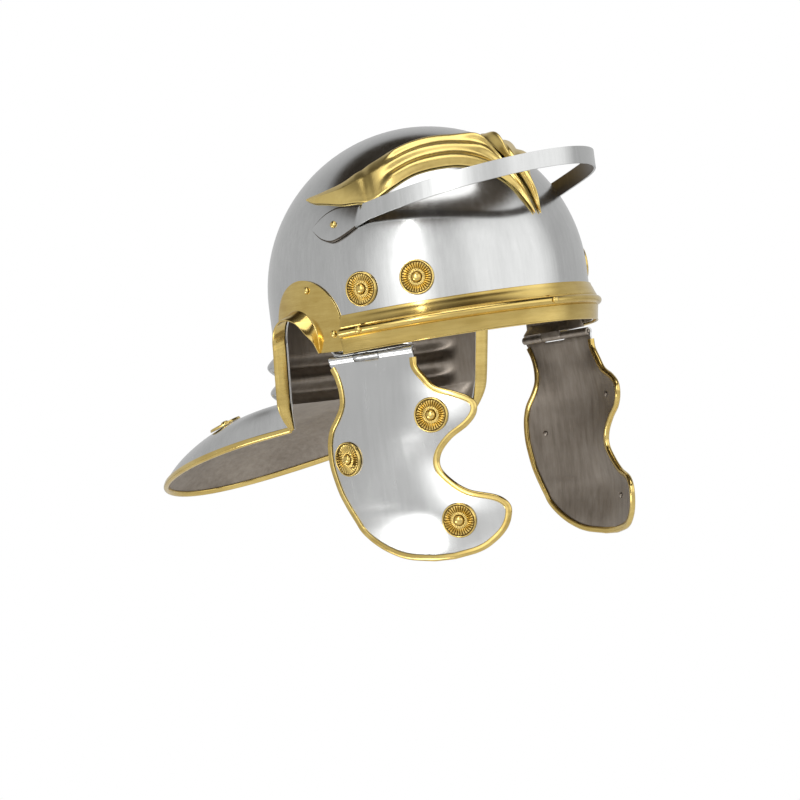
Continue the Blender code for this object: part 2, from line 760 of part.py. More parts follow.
def cheek_place(side, drop_share, column):
    """A point on the cheek piece by its share of the drop and across, with the normal there."""
    drop = CHEEK_DROP * drop_share
    for upper, lower in zip(CHEEK_ROWS, CHEEK_ROWS[1:]):
        if upper[0] <= drop_share <= lower[0]:
            share = (drop_share - upper[0]) / (lower[0] - upper[0])
            rear = lerp(upper[1], lower[1], share)
            front = lerp(upper[2], lower[2], share)
    ahead = HINGE_REAR_AHEAD + CHEEK_REACH * lerp(rear, front, column)
    step = ROSETTE_RADIUS / 2.0
    shift = step / (CHEEK_REACH * (front - rear))
    point = cheek_point(side, ahead, drop, column)
    forward = cheek_point(side, ahead + step, drop, column + shift)
    backward = cheek_point(side, ahead - step, drop, column - shift)
    down = cheek_point(side, ahead, drop + step, column)
    up = cheek_point(side, ahead, drop - step, column)
    normal = (forward - backward).cross(down - up).normalized()
    if normal.x * side < 0.0:
        normal.negate()
    return point, normal


def roll(side, share, start, turn_sign):
    """Points round the hinge axis, on the knuckle's outer skin."""
    axis = hinge_axis_point(side, share)
    outwards = hinge_outwards(side)
    points = []
    for step in range(KNUCKLE_STEPS + 1):
        turn = start + turn_sign * KNUCKLE_WRAP * step / KNUCKLE_STEPS
        points.append(axis + outwards * (KNUCKLE_RADIUS * math.cos(turn))
                      + Vector((0.0, 0.0, KNUCKLE_RADIUS * math.sin(turn))))
    return points


def make_cheek_plate(side, name, hinge):
    """The plate with its two rolled knuckles.  Returns its edge as points and normals."""
    builder = bmesh.new()
    grid = [[builder.verts.new(point) for point in row] for row in cheek_grid(side)]
    join_rows(builder, grid, flip=side > 0)
    first_gap, last_gap = (CHEEK_COLUMNS.index(share) for share in KNUCKLE_SPANS)
    for columns in (range(0, first_gap + 1), range(last_gap, len(CHEEK_COLUMNS))):
        rolled = []
        for column in columns:
            share = CHEEK_COLUMNS[column]
            if column == first_gap:
                share -= GAP / HINGE_LENGTH
            if column == last_gap:
                share += GAP / HINGE_LENGTH
            points = roll(side, share, 0.0, 1.0)
            rolled.append([grid[0][column]] + [builder.verts.new(point) for point in points])
        join_rows(builder, rolled, flip=side > 0)
    bmesh.ops.recalc_face_normals(builder, faces=builder.faces)
    builder.normal_update()
    if grid[len(grid) // 2][3].normal.x * side < 0.0:
        bmesh.ops.reverse_faces(builder, faces=builder.faces)
        builder.normal_update()
    rear = [row[0] for row in grid[CHEEK_TRIM_START:]]
    bottom = grid[-1][1:-1]
    front = [row[-1] for row in reversed(grid[CHEEK_TRIM_START:])]
    edge = [(vert.co.copy(), vert.normal.copy()) for vert in rear + bottom + front]
    add_object(f"cheek_plate_{name}", builder, STEEL, hinge, wall=STEEL_WALL)
    return edge


def make_hinge_leaf(side, name, helmet):
    """The leaf inside the bowl's wall and the middle knuckle that it is rolled into."""
    start, end = KNUCKLE_SPANS
    clearance = GAP / HINGE_LENGTH
    columns = []
    for step in range(LEAF_SPANS + 1):
        share = lerp(start + clearance, end - clearance, step / LEAF_SPANS)
        axis = hinge_axis_point(side, share)
        inwards = axis - hinge_outwards(side) * KNUCKLE_RADIUS
        foot = inwards + Vector((0.0, 0.0, LEAF_FOOT_RISE))
        ahead = -axis.y
        lift = -(STEEL_WALL + LEAF_WALL_GAP + STEEL_WALL)
        low = skin(side, ahead, LEAF_BEND_HEIGHT, lift)
        high = skin(side, ahead, LEAF_TOP_HEIGHT, lift)
        columns.append([high, low, foot] + roll(side, share, math.pi, 1.0))
    builder = sheet(columns)
    builder.verts.ensure_lookup_table()
    if builder.verts[0].normal.x * side > 0.0:
        bmesh.ops.reverse_faces(builder, faces=builder.faces)
    add_object(f"hinge_leaf_{name}", builder, STEEL, helmet, wall=STEEL_WALL)


def make_hinge_pin(side, name, helmet):
    proud = PIN_PROUD / HINGE_LENGTH
    start = hinge_axis_point(side, -proud)
    end = hinge_axis_point(side, 1.0 + proud)
    outwards = hinge_outwards(side)
    sections = []
    for centre in (start, end):
        ring = []
        for step in range(PIN_SIDES):
            turn = 2.0 * math.pi * step / PIN_SIDES
            ring.append(centre + outwards * (PIN_RADIUS * math.cos(turn))
                        + Vector((0.0, 0.0, PIN_RADIUS * math.sin(turn))))
        sections.append(ring)
    add_object(f"hinge_pin_{name}", sweep(sections), STEEL, helmet)


def turned(profile, radius, thickness, sides, point, normal):
    """A turned solid whose flat back faces the surface at a point, a small gap off it."""
    builder = bmesh.new()
    facing = normal.to_track_quat("Z", "Y").to_matrix().to_4x4()
    frame = Matrix.Translation(point + normal * FACET_GAP) @ facing
    rings = []
    for radius_share, height_share in profile:
        ring = []
        for step in range(sides):
            turn = 2.0 * math.pi * step / sides
            out = radius * radius_share
            ring.append(builder.verts.new((out * math.cos(turn), out * math.sin(turn),
                                           thickness * height_share)))
        rings.append(ring)
    join_rows(builder, rings, closed=True)
    builder.faces.new(list(reversed(rings[0])))
    builder.faces.new(rings[-1])
    bmesh.ops.recalc_face_normals(builder, faces=builder.faces)
    builder.transform(frame)
    return builder


def add_rosette(name, point, normal, carrier):
    builder = turned(ROSETTE_PROFILE, ROSETTE_RADIUS, ROSETTE_THICKNESS, ROSETTE_SIDES, point, normal)
    add_object(name, builder, BRASS, carrier)


def add_rivet(name, point, normal, carrier):
    builder = turned(RIVET_PROFILE, RIVET_RADIUS, RIVET_THICKNESS, RIVET_SIDES, point, normal)
    add_object(name, builder, BRASS, carrier)


def guard_place(side, around, out):
    """A point on the neck guard with its upward normal."""
    step = 0.03
    point = guard_point(around, out)
    along = guard_point(around + step, out) - guard_point(around - step, out)
    outward = guard_point(around, out + step) - guard_point(around, out - step)
    normal = along.cross(outward).normalized()
    if normal.z < 0.0:
        normal.negate()
    if side < 0:
        point = mirrored(point)
        normal = mirrored(normal)
    return point, normal


def fit_round_pieces(side, name, helmet, hinge):
    for place, (ahead_share, height) in BOWL_ROSETTES.items():
        point = skin(side, BOWL_HALF_LENGTH * ahead_share, height)
        add_rosette(f"rosette_{place}_{name}", point, skin_normal(point), helmet)
    point, normal = guard_place(side, GUARD_ROSETTE_AROUND, GUARD_ROSETTE_OUT)
    add_rosette(f"rosette_neck_{name}", point, normal, helmet)
    for place, (drop_share, column) in CHEEK_ROSETTES.items():
        point, normal = cheek_place(side, drop_share, column)
        add_rosette(f"rosette_cheek_{place}_{name}", point, normal, hinge)
    for place, (ahead, height) in EAR_GUARD_RIVETS.items():
        point = skin(side, ahead, height, FACET_GAP + BRASS_WALL)
        add_rivet(f"rivet_ear_{place}_{name}", point, skin_normal(point), helmet)
    tab_middle = TAB_TIP_AHEAD + TAB_LENGTH * TAB_RIVET_ALONG
    point = skin(side, tab_middle, TAB_CENTRE_HEIGHT, FACET_GAP + BAR_WALL)
    add_rivet(f"rivet_bar_{name}", point, skin_normal(point), helmet)
    point, normal = bead_place(side, BAND_RIVET_AHEAD)
    add_rivet(f"rivet_band_{name}", point, normal, helmet)


def bead_place(side, ahead):
    """A point on the crest of the band's bead, with its normal."""
    point = skin(side, ahead, band_rise(ahead), BEAD_CREST)
    return point, skin_normal(skin(side, ahead, 0.0))


def build():
    for item in list(bpy.data.objects):
        bpy.data.objects.remove(item)
    helmet = add_empty("helmet", place=(0.0, 0.0, -CROWN_INSIDE_HEIGHT))
    rim = make_bowl(helmet)
    add_object("neck_guard_trim", sweep(trim_sections(rim[1:-1])), BRASS, helmet)
    make_brow_band(helmet)
    make_brow_bar(helmet)
    for side, name in ((-1.0, "right"), (1.0, "left")):
        middle = hinge_axis_point(side, 0.5)
        hinge = add_empty(f"cheek_hinge_{name}", parent=helmet, place=middle)
        make_ear_guard(side, name, helmet)
        make_eyebrow(side, name, helmet)
        edge = make_cheek_plate(side, name, hinge)
        add_object(f"cheek_trim_{name}", sweep(trim_sections(edge, -side)), BRASS, hinge)
        make_hinge_leaf(side, name, helmet)
        make_hinge_pin(side, name, helmet)
        fit_round_pieces(side, name, helmet, hinge)
    across = FRONT_RIVET_ACROSS / BOWL_HALF_WIDTH
    point, normal = bead_place(-1.0, BOWL_HALF_LENGTH * math.sqrt(1.0 - across * across))
    add_rivet("rivet_band_front", point, normal, helmet)


build()
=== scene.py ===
"""Looks of a roman legionary helmet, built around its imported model.

Heights are measured from the bead of the brow band until a piece is placed.
The helmet faces -Y, with the wearer's right at -X.
"""
import math

import bmesh
import bpy
from mathutils import Matrix, Vector


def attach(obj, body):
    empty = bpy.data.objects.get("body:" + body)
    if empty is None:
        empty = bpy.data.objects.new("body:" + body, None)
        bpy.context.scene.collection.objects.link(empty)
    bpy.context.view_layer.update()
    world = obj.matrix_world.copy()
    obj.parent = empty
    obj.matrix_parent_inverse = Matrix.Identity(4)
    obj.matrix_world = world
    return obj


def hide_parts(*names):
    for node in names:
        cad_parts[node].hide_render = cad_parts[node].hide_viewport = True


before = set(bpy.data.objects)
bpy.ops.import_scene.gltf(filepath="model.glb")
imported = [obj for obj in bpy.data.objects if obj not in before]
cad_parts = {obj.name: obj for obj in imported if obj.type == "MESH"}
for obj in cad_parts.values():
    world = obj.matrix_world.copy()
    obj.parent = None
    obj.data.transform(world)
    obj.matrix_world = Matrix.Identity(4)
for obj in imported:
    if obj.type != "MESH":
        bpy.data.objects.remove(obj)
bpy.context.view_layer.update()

# Bowl, ear openings, nape and neck guard.
BOWL_HALF_WIDTH = 0.103
BOWL_HALF_LENGTH = 0.118
BOWL_RISE = 0.111
EQUATOR_HEIGHT = 0.025
STEEL_WALL = 0.0012
FRONT_RIM_HEIGHT = -0.013
EAR_CENTRE_AHEAD = -0.027
EAR_RADIUS = 0.021
EAR_SPRING_HEIGHT = -0.0035
NAPE_BOTTOM_HEIGHT = -0.042
NAPE_EDGE_SLANT = 0.0055
RIDGE_HEIGHTS = (-0.0165, -0.0345)
RIDGE_HALF_WIDTH = 0.0085
RIDGE_DEPTH = 0.0065
RIDGE_ROUNDNESS = 0.8
RIDGE_STARTS_AT = 0.09
RIDGE_FULL_AT = 0.26
GUARD_HALF_WIDTH = 0.097
GUARD_LENGTH = 0.1445
GUARD_CORNER_ANGLE = math.radians(-25.0)
GUARD_CORNER_HEIGHT = -0.0615
GUARD_SLOPE = 0.10
GUARD_DIP = 0.015
GUARD_SWELL = 2.8
GUARD_TURN = 0.70
GUARD_SWELL_FULL = 0.25
FRONT_COLUMNS = 56
EAR_COLUMNS = 40
REAR_COLUMNS = 72
WALL_ROWS = 6
DOME_ROWS = 34
SKIRT_ROWS = 4
NAPE_ROWS = 36
GUARD_ROWS = 40
GUARD_ROW_CROWDING = 1.3

# Rounded edges of the sheets.
EDGE_ROUNDING = 0.0002
BOWL_EDGE_ROUNDING = 0.0003
BAR_EDGE_ROUNDING = 0.0004
ROUNDED_FROM_ANGLE = math.radians(50.0)

# Brass sheet and trims.
BRASS_WALL = 0.0009
FACET_GAP = 0.00045
TRIM_WALL = 0.0005
TRIM_HALF_THICKNESS = 0.0019
TRIM_REACH = 0.0017
TRIM_LAP = 0.0027
TRIM_GAP = 0.00025
TRIM_LIP = ((1.0, 0.0), (0.85, 0.0003), (0.5, 0.0005))
TRIM_NOSE_STEPS = 10
TRIM_NOSE_ROOT = 0.05
TRIM_NOSE_FULLNESS = 0.98

# Brow band.
BAND_TOP_HEIGHT = 0.012
BAND_BOTTOM_HEIGHT = -0.0136
BAND_SLOPE = 0.036
BAND_LEVEL_AHEAD = 0.080
BAND_STAND_OFF = 0.0044
BAND_FOOT_LIFT = 0.0030
BAND_TOP_CLEARANCE = 0.0003
BAND_TOP_FOLD = 0.0012
BAND_TOP_SWELL = 0.0002
BAND_SWELL_START = 0.0016
BAND_FOOT_CURL = 0.00045
BAND_COLUMNS = 90
BAND_END_CLEARANCE = math.radians(0.3)
BEAD_RADIUS = 0.0030
BEAD_CREST = 0.0073
BEAD_SHOULDER = 0.0008
BEAD_SINK = 0.0004
BEAD_STEPS = 14
FINE_STEP = 0.0001
BAND_END_AHEAD = 0.0173

# Ear guards.
EAR_PLATE_CENTRE_AHEAD = -0.019
EAR_PLATE_CENTRE_HEIGHT = 0.003
EAR_PLATE_HALF_LENGTH = 0.036
EAR_PLATE_HALF_HEIGHT = 0.0345
EAR_PLATE_BOTTOM_HEIGHT = -0.014
FLANGE_WIDTH = 0.0117
FLANGE_DROOP = 0.0090
FLANGE_BEND = 0.0016
BEND_SHARE_OF_FLANGE = 0.45
BEND_SHARE_OF_PLATE = 0.9
BEND_STEPS = 5
FLANGE_SHARES = (0.35, 0.7, 1.0)
PLATE_STEPS = 7
PLATE_FRONT_COLUMNS = 10
PLATE_ARCH_COLUMNS = 48
STRIP_START = 0.35
STRIP_WIDTH = 0.78
STRIP_FOOT_WIDTH = 0.12
STRIP_SPAN = 1.0 / 12.0
STRIP_TAPER_START = 0.50
STRIP_LIFT = 0.0010
STRIP_LIFT_START = 0.35
STRIP_LIFT_END = 0.60

# Brow bar.
BAR_HEIGHT = 0.0117
BAR_WALL = 0.0015
BAR_CENTRE_AHEAD = 0.008
BAR_HALF_WIDTH = 0.0922
BAR_REACH = 0.1367
BAR_BOTTOM_HEIGHT = 0.0667
BAR_CLIMB = 0.200
BAR_BEND = 0.25
BAR_TILT = 0.033
BAR_LEAN_FULL = 0.6
BAR_START_AHEAD = 0.042
BAR_ROWS = 8
BAR_COLUMNS = 180
JOGGLE_COLUMNS = 8
TAB_LENGTH = 0.038
TAB_HALF_HEIGHT = 0.0115
TAB_TIP_AHEAD = -0.006
TAB_CENTRE_HEIGHT = 0.0705
TAB_RIVET_ALONG = 0.52
TAB_ROWS = 26
# The outermost strip across the bar; on the tabs its faces are painted shade with some grime.
TAB_EDGE_SHARE = 0.045

# Relief of the eyebrows: heights, and places as shares along and across.
EYEBROW_COLUMNS = 150
EYEBROW_ROWS = 36
EYEBROW_WALL = 0.0011
EYEBROW_LIFT = 0.0015
FULL_RELIEF_WIDTH = 0.012
EYEBROW_FLUTES = 3.0
EYEBROW_FLUTE_HEIGHT = 0.0019
EYEBROW_FLUTED_DOME = 0.0008
FLUTES_START = 0.29
FLUTES_BLEND = 0.05
CREASE_HEIGHT = 0.0022
CREASE_DOME = 0.0006
CREASE_PLACE = 0.45
STEP_DEPTH = 0.0007
STEP_PLACE = 0.215
STEP_SLANT = 0.04
STEP_HALF_LENGTH = 0.022
LOBE_RISE = 0.0055
LOBE_PLACE = (0.67, 0.22)
LOBE_SIZE = (0.075, 0.24)
LOBE_EDGE = 0.16

# Cheek pieces and their hinges.
HINGE_HEIGHT = -0.019
HINGE_REAR_AHEAD = -0.004
HINGE_LENGTH = 0.070
HINGE_REAR_ACROSS = 0.0963
HINGE_FRONT_ACROSS = 0.0870
PIN_RADIUS = 0.00125
KNUCKLE_BORE = 0.0016
KNUCKLE_RADIUS = KNUCKLE_BORE + STEEL_WALL
KNUCKLE_SPANS = (0.30, 0.60)
KNUCKLE_WRAP = math.radians(300.0)
ROLL_START = math.radians(-42.0)
PLATE_TOP_OUT = 0.0019
ROLL_STEPS = 30
ROLL_OUTSIDE_STEPS = 15
LEAF_BRIGHT_STEPS = slice(11, 27)
KNUCKLE_GAP = 0.0002
PIN_PROUD = 0.0006
PIN_END_SHARE = 0.7
PIN_SIDES = 24
NOTCH_DROP = 0.0032
LEAF_TOP_HEIGHT = 0.008
LEAF_FOOT_RISE = 0.0035
LEAF_BEND_HEIGHT = -0.009
LEAF_WALL_GAP = 0.0007
LEAF_SHARES = (0.03, 0.12, 0.21, 0.30, 0.36, 0.42, 0.48, 0.54, 0.60, 0.70, 0.80, 0.90, 0.97)
CHEEK_DROP = 0.140
CHEEK_REACH = 0.130
CHEEK_SURFACE_ACROSS = 0.0986
CHEEK_TOE_IN = 0.110
CHEEK_LEAN = 0.038
CHEEK_CURL_START = 0.049
CHEEK_CURL = 5.5
CHEEK_DISH = 0.0045
CHEEK_DISH_RISE = 0.35
CHEEK_DISH_FALL = 0.25
CHEEK_BLEND_DROP = 0.020
CHEEK_ROWS_FINE = 110
CHEEK_COLUMNS_FINE = 60
CHEEK_ROW_CROWDING = 1.15

# Round fittings.
ROSETTE_RADIUS = 0.0118
ROSETTE_THICKNESS = 0.0032
ROSETTE_GAP = 0.00027
FLUTE_COUNT = 32
FLUTE_DEPTH = 0.13
SIDES_PER_FLUTE = 6
BEAD_COUNT = 16
BEAD_DEPTH = 0.07
FLUTED_RING = (0.46, 0.85)
# Rings painted as shade, inside the rim and round the boss, and the flute bottoms below this wave.
DARK_RINGS = ((0.27, 0.31), (0.85, 0.885))
DARK_BELOW_WAVE = -0.1
RIVET_RADIUS = 0.0024
RIVET_THICKNESS = 0.0018
RIVET_END_RADIUS = 0.0019
RIVET_END_THICKNESS = 0.0011
DOME_GAP = 0.000225
DOME_STEPS = 7
DOME_SIDES = 28
DOME_EDGE = 0.22
DOME_TURN = 0.96
GUARD_SURFACE_STEP = 0.03
GUARD_ROSETTE_AROUND = 0.47
GUARD_ROSETTE_OUT = 0.52
BAND_RIVET_AHEAD = 0.0338
FRONT_RIVET_ACROSS = 0.0070

CROWN_INSIDE_HEIGHT = EQUATOR_HEIGHT + BOWL_RISE - STEEL_WALL
EAR_FRONT_AHEAD = EAR_CENTRE_AHEAD + EAR_RADIUS
EAR_REAR_AHEAD = EAR_CENTRE_AHEAD - EAR_RADIUS

CHEEK_OUTLINE = (
    # drop, rear, front
    (0.000, 0.006, 0.540),
    (0.040, 0.014, 0.543),
    (0.085, 0.036, 0.546),
    (0.142, 0.050, 0.584),
    (0.199, 0.049, 0.634),
    (0.234, 0.036, 0.719),
    (0.276, 0.004, 0.789),
    (0.330, -0.046, 0.796),
    (0.385, -0.072, 0.752),
    (0.438, -0.082, 0.666),
    (0.507, -0.082, 0.600),
    (0.573, -0.069, 0.588),
    (0.644, -0.048, 0.639),
    (0.704, -0.019, 0.719),
    (0.741, 0.002, 0.826),
    (0.784, 0.028, 0.872),
    (0.834, 0.060, 0.873),
    (0.894, 0.132, 0.846),
    (0.946, 0.228, 0.790),
    (0.982, 0.342, 0.715),
    (1.000, 0.490, 0.600),
)

EYEBROW_SECTIONS = (
    # upper across, upper ahead, lower across, lower ahead
    (0.768, -0.208, 0.782, -0.190),
    (0.777, -0.070, 0.820, -0.085),
    (0.750, 0.075, 0.840, 0.095),
    (0.684, 0.161, 0.822, 0.220),
    (0.583, 0.250, 0.785, 0.335),
    (0.470, 0.302, 0.690, 0.425),
    (0.379, 0.343, 0.570, 0.505),
    (0.272, 0.394, 0.450, 0.590),
    (0.176, 0.447, 0.325, 0.670),
    (0.107, 0.496, 0.235, 0.735),
    (0.063, 0.560, 0.160, 0.795),
    (0.040, 0.650, 0.115, 0.838),
    (0.034, 0.745, 0.083, 0.878),
    (0.030, 0.830, 0.060, 0.910),
    (0.026, 0.895, 0.042, 0.932),
    (0.022, 0.935, 0.028, 0.946),
)

TAB_SECTIONS = (
    # along, upper, lower
    (0.00, 0.03, -0.10),
    (0.13, 0.42, -0.45),
    (0.30, 0.76, -0.80),
    (0.52, 0.97, -1.00),
    (0.74, 0.93, -0.80),
    (1.00, 0.83, -0.34),
)

FLANGE_SECTIONS = (
    # along, out, droop
    (0.00, 0.16, 0.02),
    (0.25, 0.45, 0.45),
    (0.50, 0.75, 0.85),
    (0.75, 0.92, 0.70),
    (1.00, 1.00, 0.62),
    (1.30, 1.00, 0.30),
    (1.70, 0.92, 0.15),
    (2.00, 0.25, 0.05),
)

BOWL_ROSETTES = {"temple": (0.036, 0.0252), "brow": (0.0722, 0.0277)}
EAR_GUARD_RIVETS = {"upper": (-0.0111, 0.0300), "front": (0.0099, -0.0017)}
CHEEK_ROSETTES = {
    # share of CHEEK_DROP, share across the plate
    "rear": (0.480, 0.198),
    "front": (0.322, 0.775),
    "lower": (0.830, 0.745),
}

ROSETTE_PROFILE = (
    # radius, height, flute depth, bead depth: all shares
    (1.00, 0.00, 0.0, 0.0),
    (1.00, 0.18, 0.0, 0.0),
    (0.98, 0.42, 0.0, 0.0),
    (0.95, 0.54, 0.0, 0.0),
    (0.92, 0.54, 0.0, 0.0),
    (0.89, 0.42, 0.0, 0.0),
    (0.875, 0.30, 0.2, 0.0),
    (0.84, 0.40, 1.0, 0.0),
    (0.74, 0.46, 1.0, 0.0),
    (0.62, 0.44, 1.0, 0.0),
    (0.50, 0.37, 1.0, 0.0),
    (0.46, 0.30, 0.4, 0.0),
    (0.43, 0.32, 0.0, 0.3),
    (0.39, 0.45, 0.0, 1.0),
    (0.35, 0.45, 0.0, 1.0),
    (0.31, 0.32, 0.0, 0.3),
    (0.285, 0.28, 0.0, 0.0),
    (0.265, 0.50, 0.0, 0.0),
    (0.235, 0.74, 0.0, 0.0),
    (0.18, 0.90, 0.0, 0.0),
    (0.10, 0.98, 0.0, 0.0),
    (0.03, 1.00, 0.0, 0.0),
)


UP = Vector((0.0, 0.0, 1.0))


def lerp(start, end, share):
    return start + (end - start) * share


def smooth(share):
    share = min(1.0, max(0.0, share))
    return share * share * (3.0 - 2.0 * share)


def steps(count):
    return [index / count for index in range(count + 1)]


def spline(rows, at):
    """Values at a place along rows, whose first column is the place, on a smooth curve."""
    last = len(rows) - 1
    index = 0
    while index < last - 1 and rows[index + 1][0] < at:
        index += 1
    p1, p2 = rows[index], rows[index + 1]
    p0 = rows[max(0, index - 1)]
    p3 = rows[min(last, index + 2)]
    span = p2[0] - p1[0]
    share = min(1.0, max(0.0, (at - p1[0]) / span))
    result = []
    for column in range(1, len(p1)):
        rise = p2[column] - p1[column]
        start = (p2[column] - p0[column]) / (p2[0] - p0[0]) * span if index else rise
        end = (p3[column] - p1[column]) / (p3[0] - p1[0]) * span if index < last - 1 else rise
        s2, s3 = share * share, share ** 3
        result.append(p1[column] * (2 * s3 - 3 * s2 + 1) + start * (s3 - 2 * s2 + share)
                      + p2[column] * (3 * s2 - 2 * s3) + end * (s3 - s2))
    return result


# Materials.

CLOUD_SCALE = 22.0
BRUSH_SCALE = 260.0
WAVE_SCALE = 14.0
TONE_RANGE = (0.72, 1.28)
GLOSS_RANGE = (0.6, 1.4)
BRUSH_HEIGHT = 0.0001
WAVE_HEIGHT = 0.002
EVEN = (1.0, 1.0, 1.0)
UPRIGHT = (1.0, 1.0, 0.06)


def add_node(tree, kind, inputs, **settings):
    """A new node, each of whose inputs takes a value or another node's output."""
    node = tree.nodes.new(kind)
    for name, value in settings.items():
        setattr(node, name, value)
    feed(tree, node, inputs)
    return node


def feed(tree, node, inputs):
    for socket, value in inputs.items():
        if isinstance(value, bpy.types.NodeSocket):
            tree.links.new(value, node.inputs[socket])
        else:
            node.inputs[socket].default_value = value


def ramp(tree, source, stops):
    node = add_node(tree, "ShaderNodeValToRGB", {"Fac": source})
    elements = node.color_ramp.elements
    elements[0].position, elements[0].color = stops[0]
    elements[1].position, elements[1].color = stops[-1]
    for position, colour in stops[1:-1]:
        element = elements.new(position)
        element.color = colour
    return node.outputs["Color"]


def map_range(tree, source, limits, result=(0.0, 1.0)):
    node = add_node(tree, "ShaderNodeMapRange", {
        "Value": source, "From Min": limits[0], "From Max": limits[1],
        "To Min": result[0], "To Max": result[1]})
    return node.outputs["Result"]


def grey(value):
    return (value, value, value, 1.0)


def stretched_noise(tree, scale, stretch, detail, roughness=0.6):
    """Noise in the object's own space, drawn out along the axes where stretch is small."""
    place = tree.nodes.new("ShaderNodeTexCoord")
    mapping = add_node(tree, "ShaderNodeMapping", {
        "Vector": place.outputs["Object"], "Scale": stretch})
    node = add_node(tree, "ShaderNodeTexNoise", {
        "Vector": mapping.outputs["Vector"], "Scale": scale, "Detail": detail,
        "Roughness": roughness})
    return node.outputs["Fac"]


def metal(name, dark, light, roughness, brush, brush_strength, wave_strength):
    """A worn metal: its colour clouds between two tones, its gloss follows fine brush marks."""
    material = bpy.data.materials.new(name)
    material.use_nodes = True
    tree = material.node_tree
    cloud = stretched_noise(tree, CLOUD_SCALE, EVEN, 4.0)
    marks = stretched_noise(tree, BRUSH_SCALE, brush, 5.0, 0.7)
    total = add_node(tree, "ShaderNodeMath", {0: cloud, 1: marks}, operation="ADD").outputs["Value"]
    tone = map_range(tree, total, TONE_RANGE)
    fine = add_node(tree, "ShaderNodeBump", {
        "Strength": brush_strength, "Distance": BRUSH_HEIGHT, "Height": marks})
    wave = add_node(tree, "ShaderNodeBump", {
        "Strength": wave_strength, "Distance": WAVE_HEIGHT,
        "Height": stretched_noise(tree, WAVE_SCALE, (1.0, 1.0, 0.7), 1.0),
        "Normal": fine.outputs["Normal"]})
    feed(tree, tree.nodes["Principled BSDF"], {
        "Metallic": 1.0,
        "Base Color": ramp(tree, tone, [(0.0, (*dark, 1.0)), (1.0, (*light, 1.0))]),
        "Roughness": map_range(tree, total, GLOSS_RANGE, roughness),
        "Normal": wave.outputs["Normal"]})
    return material


STEEL = metal("satin_steel", (0.55, 0.555, 0.55), (0.64, 0.645, 0.64), (0.12, 0.21),
              UPRIGHT, brush_strength=0.14, wave_strength=0.05)
STEEL_SATIN = metal("brushed_cheek_steel", (0.60, 0.605, 0.60), (0.645, 0.65, 0.645),
                    (0.22, 0.29), UPRIGHT, brush_strength=0.16, wave_strength=0.05)
STEEL_INSIDE = metal("inner_steel", (0.24, 0.205, 0.17), (0.41, 0.365, 0.315), (0.38, 0.52),
                     (0.9, 0.9, 0.14), brush_strength=0.6, wave_strength=0.12)
# A dark copy of the steel that paints shade: the brow bar's inner face and its tabs' outline.
STEEL_SHADED = metal("shaded_steel", (0.09, 0.075, 0.06), (0.15, 0.125, 0.10), (0.28, 0.40),
                     (1.0, 1.0, 0.10), brush_strength=0.3, wave_strength=0.05)
BRASS = metal("yellow_brass", (0.60, 0.425, 0.125), (0.81, 0.62, 0.225), (0.11, 0.20),
              (0.10, 0.10, 1.0), brush_strength=0.14, wave_strength=0.08)
BRASS_RELIEF = metal("embossed_brass", (0.68, 0.49, 0.15), (0.78, 0.59, 0.21), (0.13, 0.21),
                     EVEN, brush_strength=0.08, wave_strength=0.0)
# The eyebrows' satin brass: its roughness is the real satin finish, and its base colour is painted
# lighter than the other brass as painted light.
BRASS_SATIN_LIGHTENED = metal("satin_brass_painted_light", (0.80, 0.60, 0.20), (0.90, 0.70, 0.26), (0.27, 0.36),
                    EVEN, brush_strength=0.08, wave_strength=0.0)
# Dark brass that paints the shade in the rosettes' flutes and rings.
BRASS_GROOVE_SHADE = metal("painted_groove_shade_brass", (0.13, 0.085, 0.025), (0.20, 0.13, 0.04), (0.30, 0.45),
                     EVEN, brush_strength=0.1, wave_strength=0.0)


# Mesh helpers.

def join_rows(builder, rows, closed=False, flip=False):
    for lower, upper in zip(rows, rows[1:]):
        last = len(lower) if closed else len(lower) - 1
        for index in range(last):
            following = (index + 1) % len(lower)
            corners = [lower[index], lower[following], upper[following], upper[index]]
            if flip:
                corners.reverse()
            builder.faces.new(corners)


def add_points(builder, points):
    return [builder.verts.new(point) for point in points]


def use_second_material(verts):
    for vert in verts:
        for face in vert.link_faces:
            face.material_index = 1


def sheet(rows, flip=False):
    builder = bmesh.new()
    grid = [add_points(builder, row) for row in rows]
    join_rows(builder, grid, flip=flip)
    builder.normal_update()
    return builder


def sweep(sections):
    builder = bmesh.new()
    rings = [add_points(builder, ring) for ring in sections]
    join_rows(builder, rings, closed=True)
    builder.faces.new(list(reversed(rings[0])))
    builder.faces.new(rings[-1])
    bmesh.ops.recalc_face_normals(builder, faces=builder.faces)
    return builder


